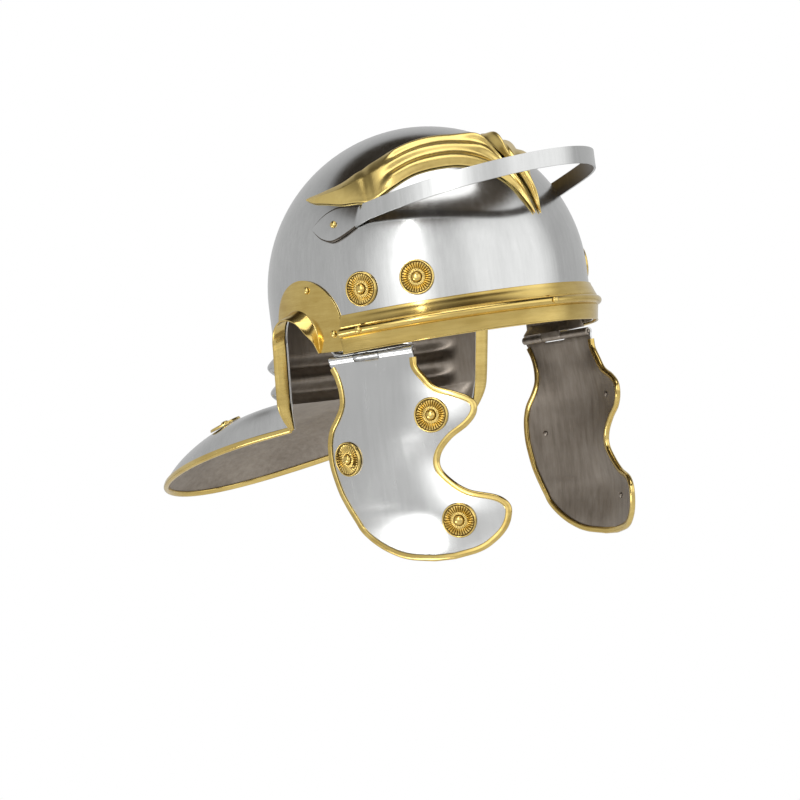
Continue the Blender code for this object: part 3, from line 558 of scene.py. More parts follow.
def place_piece(name, builder, materials, body, replaced=(), wall=0.0, grow=-1.0, bevel=0.0,
                sharp=40.0):
    """Finish a builder as a piece of the helmet: wall and rounded edges, materials, body, and hides
    the parts it replaces.
    """
    bmesh.ops.translate(builder, verts=builder.verts, vec=UP * -CROWN_INSIDE_HEIGHT)
    mesh = bpy.data.meshes.new(name + "_base")
    builder.to_mesh(mesh)
    builder.free()
    for material in materials:
        mesh.materials.append(material)
    piece = bpy.data.objects.new(name, mesh)
    bpy.context.scene.collection.objects.link(piece)
    if wall:
        thicken = piece.modifiers.new("wall", "SOLIDIFY")
        thicken.thickness = wall
        thicken.offset = grow
        thicken.use_even_offset = True
        thicken.material_offset = len(materials) - 1
        thicken.material_offset_rim = 0
    if bevel:
        rounding = piece.modifiers.new("rounding", "BEVEL")
        rounding.width = bevel
        rounding.segments = 2
        rounding.limit_method = "ANGLE"
        rounding.angle_limit = ROUNDED_FROM_ANGLE
    if wall or bevel:
        graph = bpy.context.evaluated_depsgraph_get()
        final = bpy.data.meshes.new_from_object(piece.evaluated_get(graph))
        piece.modifiers.clear()
        piece.data = final
        bpy.data.meshes.remove(mesh)
    piece.data.name = name
    piece.data.shade_smooth()
    piece.data.set_sharp_from_angle(angle=math.radians(sharp))
    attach(piece, body)
    if replaced:
        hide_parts(*replaced)


# The bowl's skin.

def radius_at(height):
    rise = max(0.0, height - EQUATOR_HEIGHT) / BOWL_RISE
    return math.sqrt(max(0.0, 1.0 - rise * rise))


def skin_normal(point):
    rise = max(0.0, point.z - EQUATOR_HEIGHT)
    slope = Vector((point.x / BOWL_HALF_WIDTH ** 2, point.y / BOWL_HALF_LENGTH ** 2,
                    rise / BOWL_RISE ** 2))
    return slope.normalized()


def skin(side, ahead, height, lift=0.0):
    share = radius_at(height)
    along = min(1.0, abs(ahead) / (BOWL_HALF_LENGTH * share))
    across = BOWL_HALF_WIDTH * share * math.sqrt(1.0 - along * along)
    point = Vector((side * across, -ahead, height))
    return point + skin_normal(point) * lift


def skin_from_above(across, ahead, lift):
    share = (across / BOWL_HALF_WIDTH) ** 2 + (ahead / BOWL_HALF_LENGTH) ** 2
    height = EQUATOR_HEIGHT + BOWL_RISE * math.sqrt(max(0.0, 1.0 - share))
    point = Vector((across, -ahead, height))
    return point + skin_normal(point) * lift


def column_angle(ahead):
    return math.asin(-ahead / BOWL_HALF_LENGTH)


def plan_point(angle, share, height, lift=0.0):
    point = Vector((BOWL_HALF_WIDTH * share * math.cos(angle),
                    BOWL_HALF_LENGTH * share * math.sin(angle), height))
    return point + skin_normal(point) * lift


def front_angles(count=FRONT_COLUMNS):
    start = column_angle(EAR_FRONT_AHEAD)
    return [lerp(start, -math.pi / 2.0, share) for share in steps(count)]


def arch_point(turn):
    return (EAR_CENTRE_AHEAD + EAR_RADIUS * math.cos(turn),
            EAR_SPRING_HEIGHT + EAR_RADIUS * math.sin(turn))


def nape_edge_ahead(height):
    share = (EAR_SPRING_HEIGHT - height) / (EAR_SPRING_HEIGHT - NAPE_BOTTOM_HEIGHT)
    return EAR_REAR_AHEAD - NAPE_EDGE_SLANT * share


def rim_height(behind):
    corner_behind = BOWL_HALF_LENGTH + GUARD_LENGTH * math.sin(GUARD_CORNER_ANGLE)
    beyond = behind - corner_behind
    share = max(0.0, beyond / (BOWL_HALF_LENGTH + GUARD_LENGTH - corner_behind))
    return GUARD_CORNER_HEIGHT - GUARD_SLOPE * beyond - GUARD_DIP * share * share


def ridge_depth(height):
    """The nape's two ridges stand out as round beads."""
    depth = 0.0
    for centre in RIDGE_HEIGHTS:
        away = min(1.0, abs(height - centre) / RIDGE_HALF_WIDTH)
        depth += (0.5 + 0.5 * math.cos(math.pi * away)) ** RIDGE_ROUNDNESS
    return min(1.0, depth)


def nape_point(around, height, ridged=True):
    start = column_angle(nape_edge_ahead(height))
    angle = lerp(start, math.pi / 2.0, around)
    fade = smooth((around - RIDGE_STARTS_AT) / (RIDGE_FULL_AT - RIDGE_STARTS_AT))
    lift = RIDGE_DEPTH * ridge_depth(height) * fade if ridged else 0.0
    return plan_point(angle, 1.0, height, lift)


def guard_point(around, out):
    root = nape_point(around, NAPE_BOTTOM_HEIGHT, False)
    turn = lerp(GUARD_CORNER_ANGLE, math.pi / 2.0, around)
    rim = Vector((GUARD_HALF_WIDTH * math.cos(turn),
                  BOWL_HALF_LENGTH + GUARD_LENGTH * math.sin(turn), 0.0))
    place = root.lerp(rim, out)
    swell = (1.0 - out ** GUARD_SWELL) ** GUARD_TURN
    swell = lerp(1.0 - out, swell, smooth(around / GUARD_SWELL_FULL))
    place.z = rim_height(place.y) + (root.z - rim_height(root.y)) * swell
    return place


def rear_rows():
    rows = []
    for share in steps(NAPE_ROWS)[1:]:
        height = lerp(EAR_SPRING_HEIGHT, NAPE_BOTTOM_HEIGHT, share)
        rows.append(lambda around, height=height: nape_point(around, height))
    for share in steps(GUARD_ROWS)[1:]:
        out = 1.0 - (1.0 - share) ** GUARD_ROW_CROWDING
        rows.append(lambda around, out=out: guard_point(around, out))
    return rows


def mirrored(point):
    return Vector((-point.x, point.y, point.z))


def across_the_rear(place_at):
    left = [place_at(share) for share in steps(REAR_COLUMNS)]
    return left + [mirrored(point) for point in reversed(left[:-1])]


def band_rise(ahead):
    return BAND_SLOPE * (ahead - BAND_LEVEL_AHEAD)


def bowl_base():
    """Angle and height of the dome's lower edge: over the brow, ear arches and nape."""
    front = [(angle, EAR_SPRING_HEIGHT) for angle in reversed(front_angles())]
    ear = []
    for share in steps(EAR_COLUMNS)[1:-1]:
        ahead, height = arch_point(math.pi * share)
        ear.append((column_angle(ahead), height))
    edge = column_angle(EAR_REAR_AHEAD)
    rear = [(lerp(edge, math.pi / 2.0, share), EAR_SPRING_HEIGHT) for share in steps(REAR_COLUMNS)]
    left = front + ear + rear
    return left + [(math.pi - angle, height) for angle, height in reversed(left[1:-1])]


def make_bowl():
    """The bowl as one sheet with the nape and neck guard; gives the points of the guard's rim."""
    base = bowl_base()
    builder = bmesh.new()
    rows = []
    for step in range(WALL_ROWS):
        share = step / WALL_ROWS
        rows.append([plan_point(angle, 1.0, lerp(height, EQUATOR_HEIGHT, share))
                     for angle, height in base])
    for step in range(DOME_ROWS):
        tilt = math.pi / 2.0 * step / DOME_ROWS
        level = EQUATOR_HEIGHT + BOWL_RISE * math.sin(tilt)
        rows.append([plan_point(place[0], math.cos(tilt), level) for place in base])
    grid = [add_points(builder, row) for row in rows]
    join_rows(builder, grid, closed=True)
    apex = builder.verts.new((0.0, 0.0, EQUATOR_HEIGHT + BOWL_RISE))
    count = len(base)
    for index in range(count):
        builder.faces.new((grid[-1][index], grid[-1][(index + 1) % count], apex))
    above = [grid[0][index % count] for index in range(-FRONT_COLUMNS, FRONT_COLUMNS + 1)]
    top = list(above)
    for share in steps(SKIRT_ROWS)[1:]:
        row = []
        for vert in top:
            bottom = FRONT_RIM_HEIGHT + max(0.0, band_rise(-vert.co.y))
            row.append(builder.verts.new((vert.co.x, vert.co.y,
                                          lerp(vert.co.z, bottom, share))))
        join_rows(builder, [row, above])
        above = row
    first = FRONT_COLUMNS + EAR_COLUMNS
    above = grid[0][first:first + 2 * REAR_COLUMNS + 1]
    for place_at in rear_rows():
        row = add_points(builder, across_the_rear(place_at))
        join_rows(builder, [row, above])
        above = row
    bmesh.ops.recalc_face_normals(builder, faces=builder.faces)
    builder.normal_update()
    rim_edge = [(vert.co.copy(), vert.normal.copy()) for vert in above]
    place_piece("bowl_shell", builder, [STEEL, STEEL_INSIDE], "helmet", ["bowl"],
                wall=STEEL_WALL, bevel=BOWL_EDGE_ROUNDING)
    return rim_edge


def trim_sections(edge, turn=1.0):
    """Sections of a strip folded round a sheet's edge: a half-round nose and two flat lips."""
    inside = STEEL_WALL / 2.0 + TRIM_GAP
    lip = inside + TRIM_WALL
    nose = [(-TRIM_LAP * share, lip + swell) for share, swell in TRIM_LIP]
    for share in steps(TRIM_NOSE_STEPS):
        angle = math.pi * (0.5 - share)
        nose.append((TRIM_REACH * lerp(TRIM_NOSE_ROOT, 1.0, math.cos(angle)),
                     TRIM_HALF_THICKNESS * TRIM_NOSE_FULLNESS * math.sin(angle)))
    nose += [(-TRIM_LAP * share, -lip - swell) for share, swell in reversed(TRIM_LIP)]
    hollow = [(-TRIM_LAP, -inside), (TRIM_GAP, -inside), (TRIM_GAP, inside), (-TRIM_LAP, inside)]
    sections = []
    for index, (point, normal) in enumerate(edge):
        before = edge[max(0, index - 1)][0]
        after = edge[min(len(edge) - 1, index + 1)][0]
        along = (after - before).normalized()
        out = along.cross(normal).normalized() * turn
        up = out.cross(along).normalized()
        if up.dot(normal) < 0.0:
            up.negate()
        middle = point - normal * (STEEL_WALL / 2.0)
        sections.append([middle + out * reach + up * rise for reach, rise in nose + hollow])
    return sections


def make_guard_trim(rim):
    """The trim of the neck guard runs along the rim's columns between its two end ones."""
    place_piece("neck_guard_edge", sweep(trim_sections(rim[1:-1])), [BRASS], "helmet",
                ["neck_guard_trim"], sharp=45.0)


def band_profile():
    """Lifts and heights from the band's top edge, over the bead, to its foot."""
    top = BRASS_WALL + BAND_TOP_CLEARANCE
    fold = BAND_TOP_HEIGHT - BAND_TOP_FOLD
    shoulder = BEAD_RADIUS + BEAD_SHOULDER
    profile = [(top, BAND_TOP_HEIGHT), (top + BAND_TOP_SWELL, fold)]
    for share in (0.25, 0.5, 0.75):
        profile.append((lerp(BAND_SWELL_START, BAND_STAND_OFF - FINE_STEP, share),
                        lerp(fold, shoulder, share)))
    profile.append((BAND_STAND_OFF, shoulder))
    root = BAND_STAND_OFF - BEAD_SINK
    for share in steps(BEAD_STEPS):
        turn = math.pi * (0.5 - share)
        profile.append((root + (BEAD_CREST - root) * math.cos(turn),
                        (BEAD_RADIUS - FINE_STEP) * math.sin(turn)))
    profile.append((BAND_STAND_OFF + FINE_STEP, -shoulder))
    for share in (0.3, 0.6, 0.94):
        profile.append((lerp(BAND_STAND_OFF, BAND_FOOT_LIFT, share),
                        lerp(-shoulder, BAND_BOTTOM_HEIGHT, share)))
    profile.append((BAND_FOOT_LIFT + BAND_FOOT_CURL, BAND_BOTTOM_HEIGHT))
    return profile


def make_band():
    end = column_angle(BAND_END_AHEAD)
    left = [end]
    left += [angle for angle in front_angles(BAND_COLUMNS) if angle < end - BAND_END_CLEARANCE]
    angles = left + [-math.pi - angle for angle in reversed(left[:-1])]
    rises = [band_rise(-BOWL_HALF_LENGTH * math.sin(angle)) for angle in angles]
    rows = []
    for lift, height in band_profile():
        rows.append([plan_point(angle, 1.0, height + rise, lift)
                     for angle, rise in zip(angles, rises)])
    place_piece("brow_band_brass", sheet(rows), [BRASS], "helmet", ["brow_band"],
                wall=BRASS_WALL, bevel=EDGE_ROUNDING, sharp=28.0)


def flange_reach(along):
    out, droop = spline(FLANGE_SECTIONS, along)
    return Vector((FLANGE_WIDTH * min(1.0, out), 0.0, -FLANGE_DROOP * droop))


def bent_column(plate, reach):
    """A plate's points, a rounded bend at its last one, and the flange beyond."""
    root = plate[-1]
    back = plate[-2]
    length = reach.length
    bend = min(FLANGE_BEND, length * BEND_SHARE_OF_FLANGE,
               (root - back).length * BEND_SHARE_OF_PLATE)
    start = root + (back - root).normalized() * bend
    end = root + reach.normalized() * bend
    column = plate[:-1]
    for share in steps(BEND_STEPS):
        column.append(start.lerp(root, share).lerp(root.lerp(end, share), share))
    for share in FLANGE_SHARES:
        column.append(end.lerp(root + reach, share))
    return column


def make_ear_guard(side, name):
    columns = []

    def on_the_bowl(outline, edge, along):
        places = [(lerp(outline[0], edge[0], share), lerp(outline[1], edge[1], share))
                  for share in steps(PLATE_STEPS)]
        columns.append(bent_column([skin(1.0, *place, FACET_GAP) for place in places],
                                   flange_reach(along)))

    upright = EAR_SPRING_HEIGHT - FRONT_RIM_HEIGHT
    to_the_top = upright + EAR_RADIUS * math.pi / 2.0
    front_edge = EAR_PLATE_CENTRE_AHEAD + EAR_PLATE_HALF_LENGTH
    for share in steps(PLATE_FRONT_COLUMNS)[:-1]:
        height = lerp(EAR_PLATE_BOTTOM_HEIGHT, EAR_PLATE_CENTRE_HEIGHT, share)
        inner = lerp(FRONT_RIM_HEIGHT, EAR_SPRING_HEIGHT, share)
        on_the_bowl((front_edge, height), (EAR_FRONT_AHEAD, inner), upright * share / to_the_top)
    for share in steps(PLATE_ARCH_COLUMNS):
        turn = math.pi * share
        outline = (EAR_PLATE_CENTRE_AHEAD + EAR_PLATE_HALF_LENGTH * math.cos(turn),
                   EAR_PLATE_CENTRE_HEIGHT + EAR_PLATE_HALF_HEIGHT * math.sin(turn))
        along = (upright + EAR_RADIUS * turn) / to_the_top
        beyond = max(0.0, turn * 2.0 / math.pi - 1.0)
        on_the_bowl(outline, arch_point(turn), min(along, 1.0) + STRIP_START * beyond)
    rows = rear_rows()[::2]
    for index, place_at in enumerate(rows):
        share = index / (len(rows) - 1)
        edge = place_at(0.0)
        beside = place_at(STRIP_SPAN)
        above = rows[max(0, index - 1)](0.0)
        below = rows[min(len(rows) - 1, index + 1)](0.0)
        outwards = (beside - edge).cross(above - below).normalized()
        if outwards.x < 0.0:
            outwards.negate()
        taper = smooth((share - STRIP_TAPER_START) / (1.0 - STRIP_TAPER_START))
        width = lerp(STRIP_WIDTH, STRIP_FOOT_WIDTH, taper)
        settle = smooth((share - STRIP_LIFT_START) / (STRIP_LIFT_END - STRIP_LIFT_START))
        lift = outwards * lerp(FACET_GAP, STRIP_LIFT, settle)
        plate = [place_at(width * part * STRIP_SPAN) + lift
                 for part in reversed(steps(PLATE_STEPS))]
        columns.append(bent_column(plate, flange_reach(lerp(1.0 + STRIP_START, 2.0, share))))
    if side < 0:
        columns = [[mirrored(point) for point in column] for column in columns]
    place_piece(f"ear_guard_brass_{name}", sheet(columns, flip=side < 0), [BRASS], "helmet",
                [f"ear_guard_{name}"], wall=BRASS_WALL, grow=1.0, bevel=EDGE_ROUNDING)


def ribbon_point(turn, height_share):
    across = BAR_HALF_WIDTH * math.cos(turn)
    forward = BAR_REACH * math.sin(turn)
    lean = BAR_TILT * across
    if across > 0.0:
        lean *= smooth(math.sin(turn) / BAR_LEAN_FULL)
    bottom = BAR_BOTTOM_HEIGHT + lean + BAR_CLIMB * forward - BAR_BEND * forward * forward
    return Vector((across, -(BAR_CENTRE_AHEAD + forward), bottom + BAR_HEIGHT * height_share))


def tab_rows(side, shares):
    rows = []
    for along in steps(TAB_ROWS):
        upper, lower = spline(TAB_SECTIONS, along)
        ahead = TAB_TIP_AHEAD + TAB_LENGTH * along
        bottom = TAB_CENTRE_HEIGHT + TAB_HALF_HEIGHT * lower
        top = TAB_CENTRE_HEIGHT + TAB_HALF_HEIGHT * upper
        rows.append([skin(side, ahead, lerp(bottom, top, share), FACET_GAP) for share in shares])
    return rows


def joggle_rows(end_row, start_row, shares):
    """The bar steps off the bowl between the tab and the ribbon."""
    rows = []
    for share in steps(JOGGLE_COLUMNS)[1:-1]:
        row = []
        for index in range(len(shares)):
            point = end_row[index].lerp(start_row[index], share)
            across = lerp(end_row[index].x, start_row[index].x, smooth(share))
            row.append(Vector((across, point.y, point.z)))
        rows.append(row)
    return rows


def paint_tab_outline_shade_and_grime(builder, columns):
    """Painted shade, for the shadowed gap under each tab and its edges' dark reflection, runs with
    some grime along the outline of both leaf-shaped tabs.
    """
    last_row = len(builder.faces) // columns - 1
    for index, face in enumerate(builder.faces):
        row, column = divmod(index, columns)
        if min(row, last_row - row) < TAB_ROWS and column in (0, columns - 1):
            face.material_index = 1


def make_brow_bar():
    shares = [0.0, TAB_EDGE_SHARE, *steps(BAR_ROWS)[1:-1], 1.0 - TAB_EDGE_SHARE, 1.0]
    start = math.asin((BAR_START_AHEAD - BAR_CENTRE_AHEAD) / BAR_REACH)
    ribbon = [[ribbon_point(lerp(start, math.pi - start, part), share) for share in shares]
              for part in steps(BAR_COLUMNS)]
    left = tab_rows(1.0, shares)
    right = tab_rows(-1.0, shares)
    right.reverse()
    rows = left + joggle_rows(left[-1], ribbon[0], shares) + ribbon
    rows += joggle_rows(ribbon[-1], right[0], shares) + right
    builder = sheet(rows)
    # The tabs' outline takes shaded_steel: painted shade with some grime.
    paint_tab_outline_shade_and_grime(builder, len(shares) - 1)
    # The wall gives the bar's inner face shaded_steel: painted shade.
    place_piece("brow_bar_steel", builder, [STEEL, STEEL_SHADED], "helmet",
                ["brow_bar"], wall=BAR_WALL, grow=1.0, bevel=BAR_EDGE_ROUNDING)


def eyebrow_lift(along, share, width):
    """How far the leaf stands off the bowl: flutes ahead of the temple, one crease behind."""
    full = smooth(width / FULL_RELIEF_WIDTH)
    flutes = 0.5 - 0.5 * math.cos(2.0 * math.pi * EYEBROW_FLUTES * share)
    crease = max(0.0, 1.0 - 2.0 * abs(share - CREASE_PLACE))
    dome = math.sin(math.pi * min(1.0, max(0.0, share))) ** 0.5
    fluted = smooth((along - FLUTES_START) / FLUTES_BLEND)
    relief = lerp(CREASE_HEIGHT * crease + CREASE_DOME * dome,
                  EYEBROW_FLUTE_HEIGHT * flutes + EYEBROW_FLUTED_DOME * dome, fluted)
    from_step = abs(along - STEP_PLACE - STEP_SLANT * share)
    step = STEP_DEPTH * max(0.0, 1.0 - from_step / STEP_HALF_LENGTH)
    lobe = math.exp(-((along - LOBE_PLACE[0]) / LOBE_SIZE[0]) ** 2
                    - ((share - LOBE_PLACE[1]) / LOBE_SIZE[1]) ** 2) * smooth(share / LOBE_EDGE)
    return EYEBROW_LIFT + relief * full - step * full + LOBE_RISE * lobe


def make_eyebrow(side, name):
    last = len(EYEBROW_SECTIONS) - 1
    table = [(index / last, *row) for index, row in enumerate(EYEBROW_SECTIONS)]
    rows = []
    for along in steps(EYEBROW_COLUMNS):
        upper_across, upper_ahead, lower_across, lower_ahead = spline(table, along)
        width = math.hypot((lower_across - upper_across) * BOWL_HALF_WIDTH,
                           (lower_ahead - upper_ahead) * BOWL_HALF_LENGTH)
        row = []
        for share in steps(EYEBROW_ROWS):
            across = lerp(upper_across, lower_across, share) * BOWL_HALF_WIDTH
            ahead = lerp(upper_ahead, lower_ahead, share) * BOWL_HALF_LENGTH
            lift = eyebrow_lift(along, share, width)
            row.append(skin_from_above(side * across, ahead, lift))
        rows.append(row)
    place_piece(f"eyebrow_brass_{name}", sheet(rows, flip=side > 0), [BRASS_SATIN_LIGHTENED], "helmet",
                [f"eyebrow_{name}"], wall=EYEBROW_WALL, bevel=EDGE_ROUNDING, sharp=50.0)


def hinge_axis_point(side, share):
    across = lerp(HINGE_REAR_ACROSS, HINGE_FRONT_ACROSS, share)
    return Vector((side * across, -(HINGE_REAR_AHEAD + HINGE_LENGTH * share), HINGE_HEIGHT))


def hinge_outwards(side):
    along = hinge_axis_point(side, 1.0) - hinge_axis_point(side, 0.0)
    return Vector((-along.y, along.x, 0.0)).normalized() * side


def cheek_point(side, ahead, drop, across_share):
    curl = max(0.0, ahead - CHEEK_CURL_START)
    fitted = (CHEEK_SURFACE_ACROSS - CHEEK_TOE_IN * ahead - CHEEK_LEAN * drop
              - CHEEK_CURL * curl * curl)
    share = (ahead - HINGE_REAR_AHEAD) / HINGE_LENGTH
    at_hinge = lerp(HINGE_REAR_ACROSS, HINGE_FRONT_ACROSS, share) + PLATE_TOP_OUT
    across = lerp(at_hinge, fitted, smooth(drop / CHEEK_BLEND_DROP))
    fullness = 4.0 * across_share * (1.0 - across_share)
    rise = smooth((drop - NOTCH_DROP) / (CHEEK_DROP * CHEEK_DISH_RISE))
    fall = smooth((CHEEK_DROP - drop) / (CHEEK_DROP * CHEEK_DISH_FALL))
    across += CHEEK_DISH * fullness * rise * fall
    return Vector((side * across, -ahead, HINGE_HEIGHT - drop))


def cheek_ahead(drop_share, column):
    """How far ahead a share across the plate lies, and the plate's width there."""
    rear, front = spline(CHEEK_OUTLINE, drop_share)
    return HINGE_REAR_AHEAD + CHEEK_REACH * lerp(rear, front, column), CHEEK_REACH * (front - rear)


def cheek_grid(side):
    shares = steps(CHEEK_COLUMNS_FINE)
    shift = hinge_outwards(side) * PLATE_TOP_OUT - UP * NOTCH_DROP
    rows = [[hinge_axis_point(side, share) + shift for share in shares]]
    first = CHEEK_OUTLINE[1][0]
    for part in steps(CHEEK_ROWS_FINE):
        drop_share = lerp(first, 1.0, 1.0 - (1.0 - part) ** CHEEK_ROW_CROWDING)
        rows.append([cheek_point(side, cheek_ahead(drop_share, column)[0],
                                 CHEEK_DROP * drop_share, column) for column in shares])
    return rows


def cheek_place(side, drop_share, column, inside=False):
    drop = CHEEK_DROP * drop_share
    ahead, width = cheek_ahead(drop_share, column)
    step = ROSETTE_RADIUS / 2.0
    shift = step / width
    point = cheek_point(side, ahead, drop, column)
    forward = cheek_point(side, ahead + step, drop, column + shift)
    backward = cheek_point(side, ahead - step, drop, column - shift)
    down = cheek_point(side, ahead, drop + step, column)
    up = cheek_point(side, ahead, drop - step, column)
    normal = (forward - backward).cross(down - up).normalized()
    if normal.x * side < 0.0:
        normal.negate()
    if inside:
        return point - normal * STEEL_WALL, -normal
    return point, normal


def round_the_axis(side, share, radius, turn):
    return (hinge_axis_point(side, share) + hinge_outwards(side) * (radius * math.cos(turn))
            + UP * (radius * math.sin(turn)))


def roll(side, share, start):
    return [round_the_axis(side, share, KNUCKLE_RADIUS, start + KNUCKLE_WRAP * part)
            for part in steps(ROLL_STEPS)]


def make_cheek(side, name):
    body = f"cheek_piece_{name}"
    builder = bmesh.new()
    grid = [add_points(builder, row) for row in cheek_grid(side)]
    join_rows(builder, grid, flip=side > 0)
    last = CHEEK_COLUMNS_FINE
    first_gap, last_gap = (round(share * last) for share in KNUCKLE_SPANS)
    for columns in (range(0, first_gap + 1), range(last_gap, last + 1)):
        rolled = []
        for column in columns:
            share = column / last
            if column == first_gap:
                share -= KNUCKLE_GAP / HINGE_LENGTH
            if column == last_gap:
                share += KNUCKLE_GAP / HINGE_LENGTH
            rolled.append([grid[0][column], *add_points(builder, roll(side, share, ROLL_START))])
        join_rows(builder, rolled, flip=side > 0)
        for column in rolled:
            use_second_material(column[ROLL_OUTSIDE_STEPS:])
    bmesh.ops.recalc_face_normals(builder, faces=builder.faces)
    builder.normal_update()
    if grid[len(grid) // 2][last // 2].normal.x * side < 0.0:
        bmesh.ops.reverse_faces(builder, faces=builder.faces)
        builder.normal_update()
    rear = [row[0] for row in grid[1:]]
    bottom = grid[-1][1:-1]
    front = [row[-1] for row in reversed(grid[1:])]
    edge = [(vert.co.copy(), vert.normal.copy()) for vert in rear + bottom + front]
    place_piece(f"cheek_steel_{name}", builder, [STEEL_SATIN, STEEL_INSIDE], body,
                [f"cheek_plate_{name}"], wall=STEEL_WALL, bevel=EDGE_ROUNDING)
    place_piece(f"cheek_edge_{name}", sweep(trim_sections(edge, -side)), [BRASS], body,
                [f"cheek_trim_{name}"], sharp=45.0)


def make_hinge_leaf(side, name):
    start, end = KNUCKLE_SPANS
    clearance = KNUCKLE_GAP / HINGE_LENGTH
    builder = bmesh.new()
    plate = []
    rolled = []
    for share in LEAF_SHARES:
        if share == start:
            share += clearance
        if share == end:
            share -= clearance
        axis = hinge_axis_point(side, share)
        foot = axis - hinge_outwards(side) * KNUCKLE_RADIUS + UP * LEAF_FOOT_RISE
        lift = -(STEEL_WALL + LEAF_WALL_GAP + STEEL_WALL)
        low = skin(side, -axis.y, LEAF_BEND_HEIGHT, lift)
        high = skin(side, -axis.y, LEAF_TOP_HEIGHT, lift)
        plate.append(add_points(builder, (high, low, foot)))
        if start < share < end:
            rolled.append([plate[-1][-1], *add_points(builder, roll(side, share, math.pi))])
    join_rows(builder, plate)
    join_rows(builder, rolled)
    for column in rolled:
        use_second_material(column[LEAF_BRIGHT_STEPS])
    builder.normal_update()
    builder.verts.ensure_lookup_table()
    if builder.verts[0].normal.x * side > 0.0:
        bmesh.ops.reverse_faces(builder, faces=builder.faces)
    place_piece(f"hinge_leaf_steel_{name}", builder, [STEEL_INSIDE, STEEL], "helmet",
                [f"hinge_leaf_{name}"], wall=STEEL_WALL, bevel=EDGE_ROUNDING)


def make_hinge_pin(side, name):
    proud = PIN_PROUD / HINGE_LENGTH
    sections = []
    for share, radius in ((-proud, PIN_END_SHARE), (-proud * 0.5, 1.0),
                          (1.0 + proud * 0.5, 1.0), (1.0 + proud, PIN_END_SHARE)):
        sections.append([round_the_axis(side, share, PIN_RADIUS * radius, 2.0 * math.pi * part)
                         for part in steps(PIN_SIDES)[:-1]])
    place_piece(f"hinge_pin_steel_{name}", sweep(sections), [STEEL_INSIDE], "helmet",
                [f"hinge_pin_{name}"])


def facing(point, normal, gap):
    turn = normal.to_track_quat("Z", "Y").to_matrix().to_4x4()
    return Matrix.Translation(point + normal * gap) @ turn


def turned(heights, sides):
    """A closed solid from rings: (radius, function of the angle that gives the height)."""
    builder = bmesh.new()
    rings = []
    for radius, height_at in heights:
        ring = []
        for part in steps(sides)[:-1]:
            turn = 2.0 * math.pi * part
            ring.append(builder.verts.new((radius * math.cos(turn), radius * math.sin(turn),
                                           height_at(turn))))
        rings.append(ring)
    join_rows(builder, rings, closed=True)
    builder.faces.new(list(reversed(rings[0])))
    builder.faces.new(rings[-1])
    bmesh.ops.recalc_face_normals(builder, faces=builder.faces)
    return builder


def paint_flute_shade(builder):
    """The bottoms of the flutes, and the rings inside the rim and round the boss, are painted
    darker as shade.
    """
    for face in builder.faces:
        middle = face.calc_center_median()
        share = math.hypot(middle.x, middle.y) / ROSETTE_RADIUS
        wave = math.cos(math.atan2(middle.y, middle.x) * FLUTE_COUNT)
        fluted = FLUTED_RING[0] < share < FLUTED_RING[1]
        ringed = any(inner < share < outer for inner, outer in DARK_RINGS)
        if ringed or fluted and wave < DARK_BELOW_WAVE:
            face.material_index = 1


def add_rosette(name, node, point, normal, body):
    heights = []
    for radius, height, flute, bead in ROSETTE_PROFILE:
        def height_at(turn, height=height, flute=flute, bead=bead):
            wave = math.cos(turn * FLUTE_COUNT)
            beads = math.cos(turn * BEAD_COUNT)
            relief = FLUTE_DEPTH * flute * wave + BEAD_DEPTH * bead * beads
            return ROSETTE_THICKNESS * (height + relief)
        heights.append((ROSETTE_RADIUS * radius, height_at))
    builder = turned(heights, FLUTE_COUNT * SIDES_PER_FLUTE)
    paint_flute_shade(builder)
    builder.transform(facing(point, normal, ROSETTE_GAP))
    place_piece(name, builder, [BRASS_RELIEF, BRASS_GROOVE_SHADE], body, [node], sharp=60.0)


def add_dome(name, point, normal, body="helmet", replaced=(), size=(RIVET_RADIUS, RIVET_THICKNESS),
             material=BRASS_RELIEF):
    radius, thickness = size
    heights = [(radius, lambda turn: 0.0)]
    for part in steps(DOME_STEPS)[:-1]:
        angle = math.pi / 2.0 * part
        height = thickness * lerp(DOME_EDGE, 1.0, math.sin(angle))
        heights.append((radius * math.cos(angle * DOME_TURN), lambda turn, height=height: height))
    builder = turned(heights, DOME_SIDES)
    builder.transform(facing(point, normal, DOME_GAP))
    place_piece(name, builder, [material], body, replaced, sharp=60.0)


def guard_place(side, around, out):
    step = GUARD_SURFACE_STEP
    point = guard_point(around, out)
    along = guard_point(around + step, out) - guard_point(around - step, out)
    outward = guard_point(around, out + step) - guard_point(around, out - step)
    normal = along.cross(outward).normalized()
    if normal.z < 0.0:
        normal.negate()
    if side < 0:
        point = mirrored(point)
        normal = mirrored(normal)
    return point, normal


def bead_place(side, ahead):
    point = skin(side, ahead, band_rise(ahead), BEAD_CREST)
    return point, skin_normal(skin(side, ahead, 0.0))


def fit_rosettes(side, name):
    body = f"cheek_piece_{name}"
    for place, (ahead, height) in BOWL_ROSETTES.items():
        point = skin(side, ahead, height)
        add_rosette(f"{place}_rosette_{name}", f"rosette_{place}_{name}", point,
                    skin_normal(point), "helmet")
    point, normal = guard_place(side, GUARD_ROSETTE_AROUND, GUARD_ROSETTE_OUT)
    add_rosette(f"neck_rosette_{name}", f"rosette_neck_{name}", point, normal, "helmet")
    for place, (drop_share, column) in CHEEK_ROSETTES.items():
        point, normal = cheek_place(side, drop_share, column)
        add_rosette(f"cheek_rosette_{place}_{name}", f"rosette_cheek_{place}_{name}", point,
                    normal, body)
        point, normal = cheek_place(side, drop_share, column, inside=True)
        add_dome(f"cheek_rivet_end_{place}_{name}", point, normal, body,
                 size=(RIVET_END_RADIUS, RIVET_END_THICKNESS), material=STEEL_INSIDE)


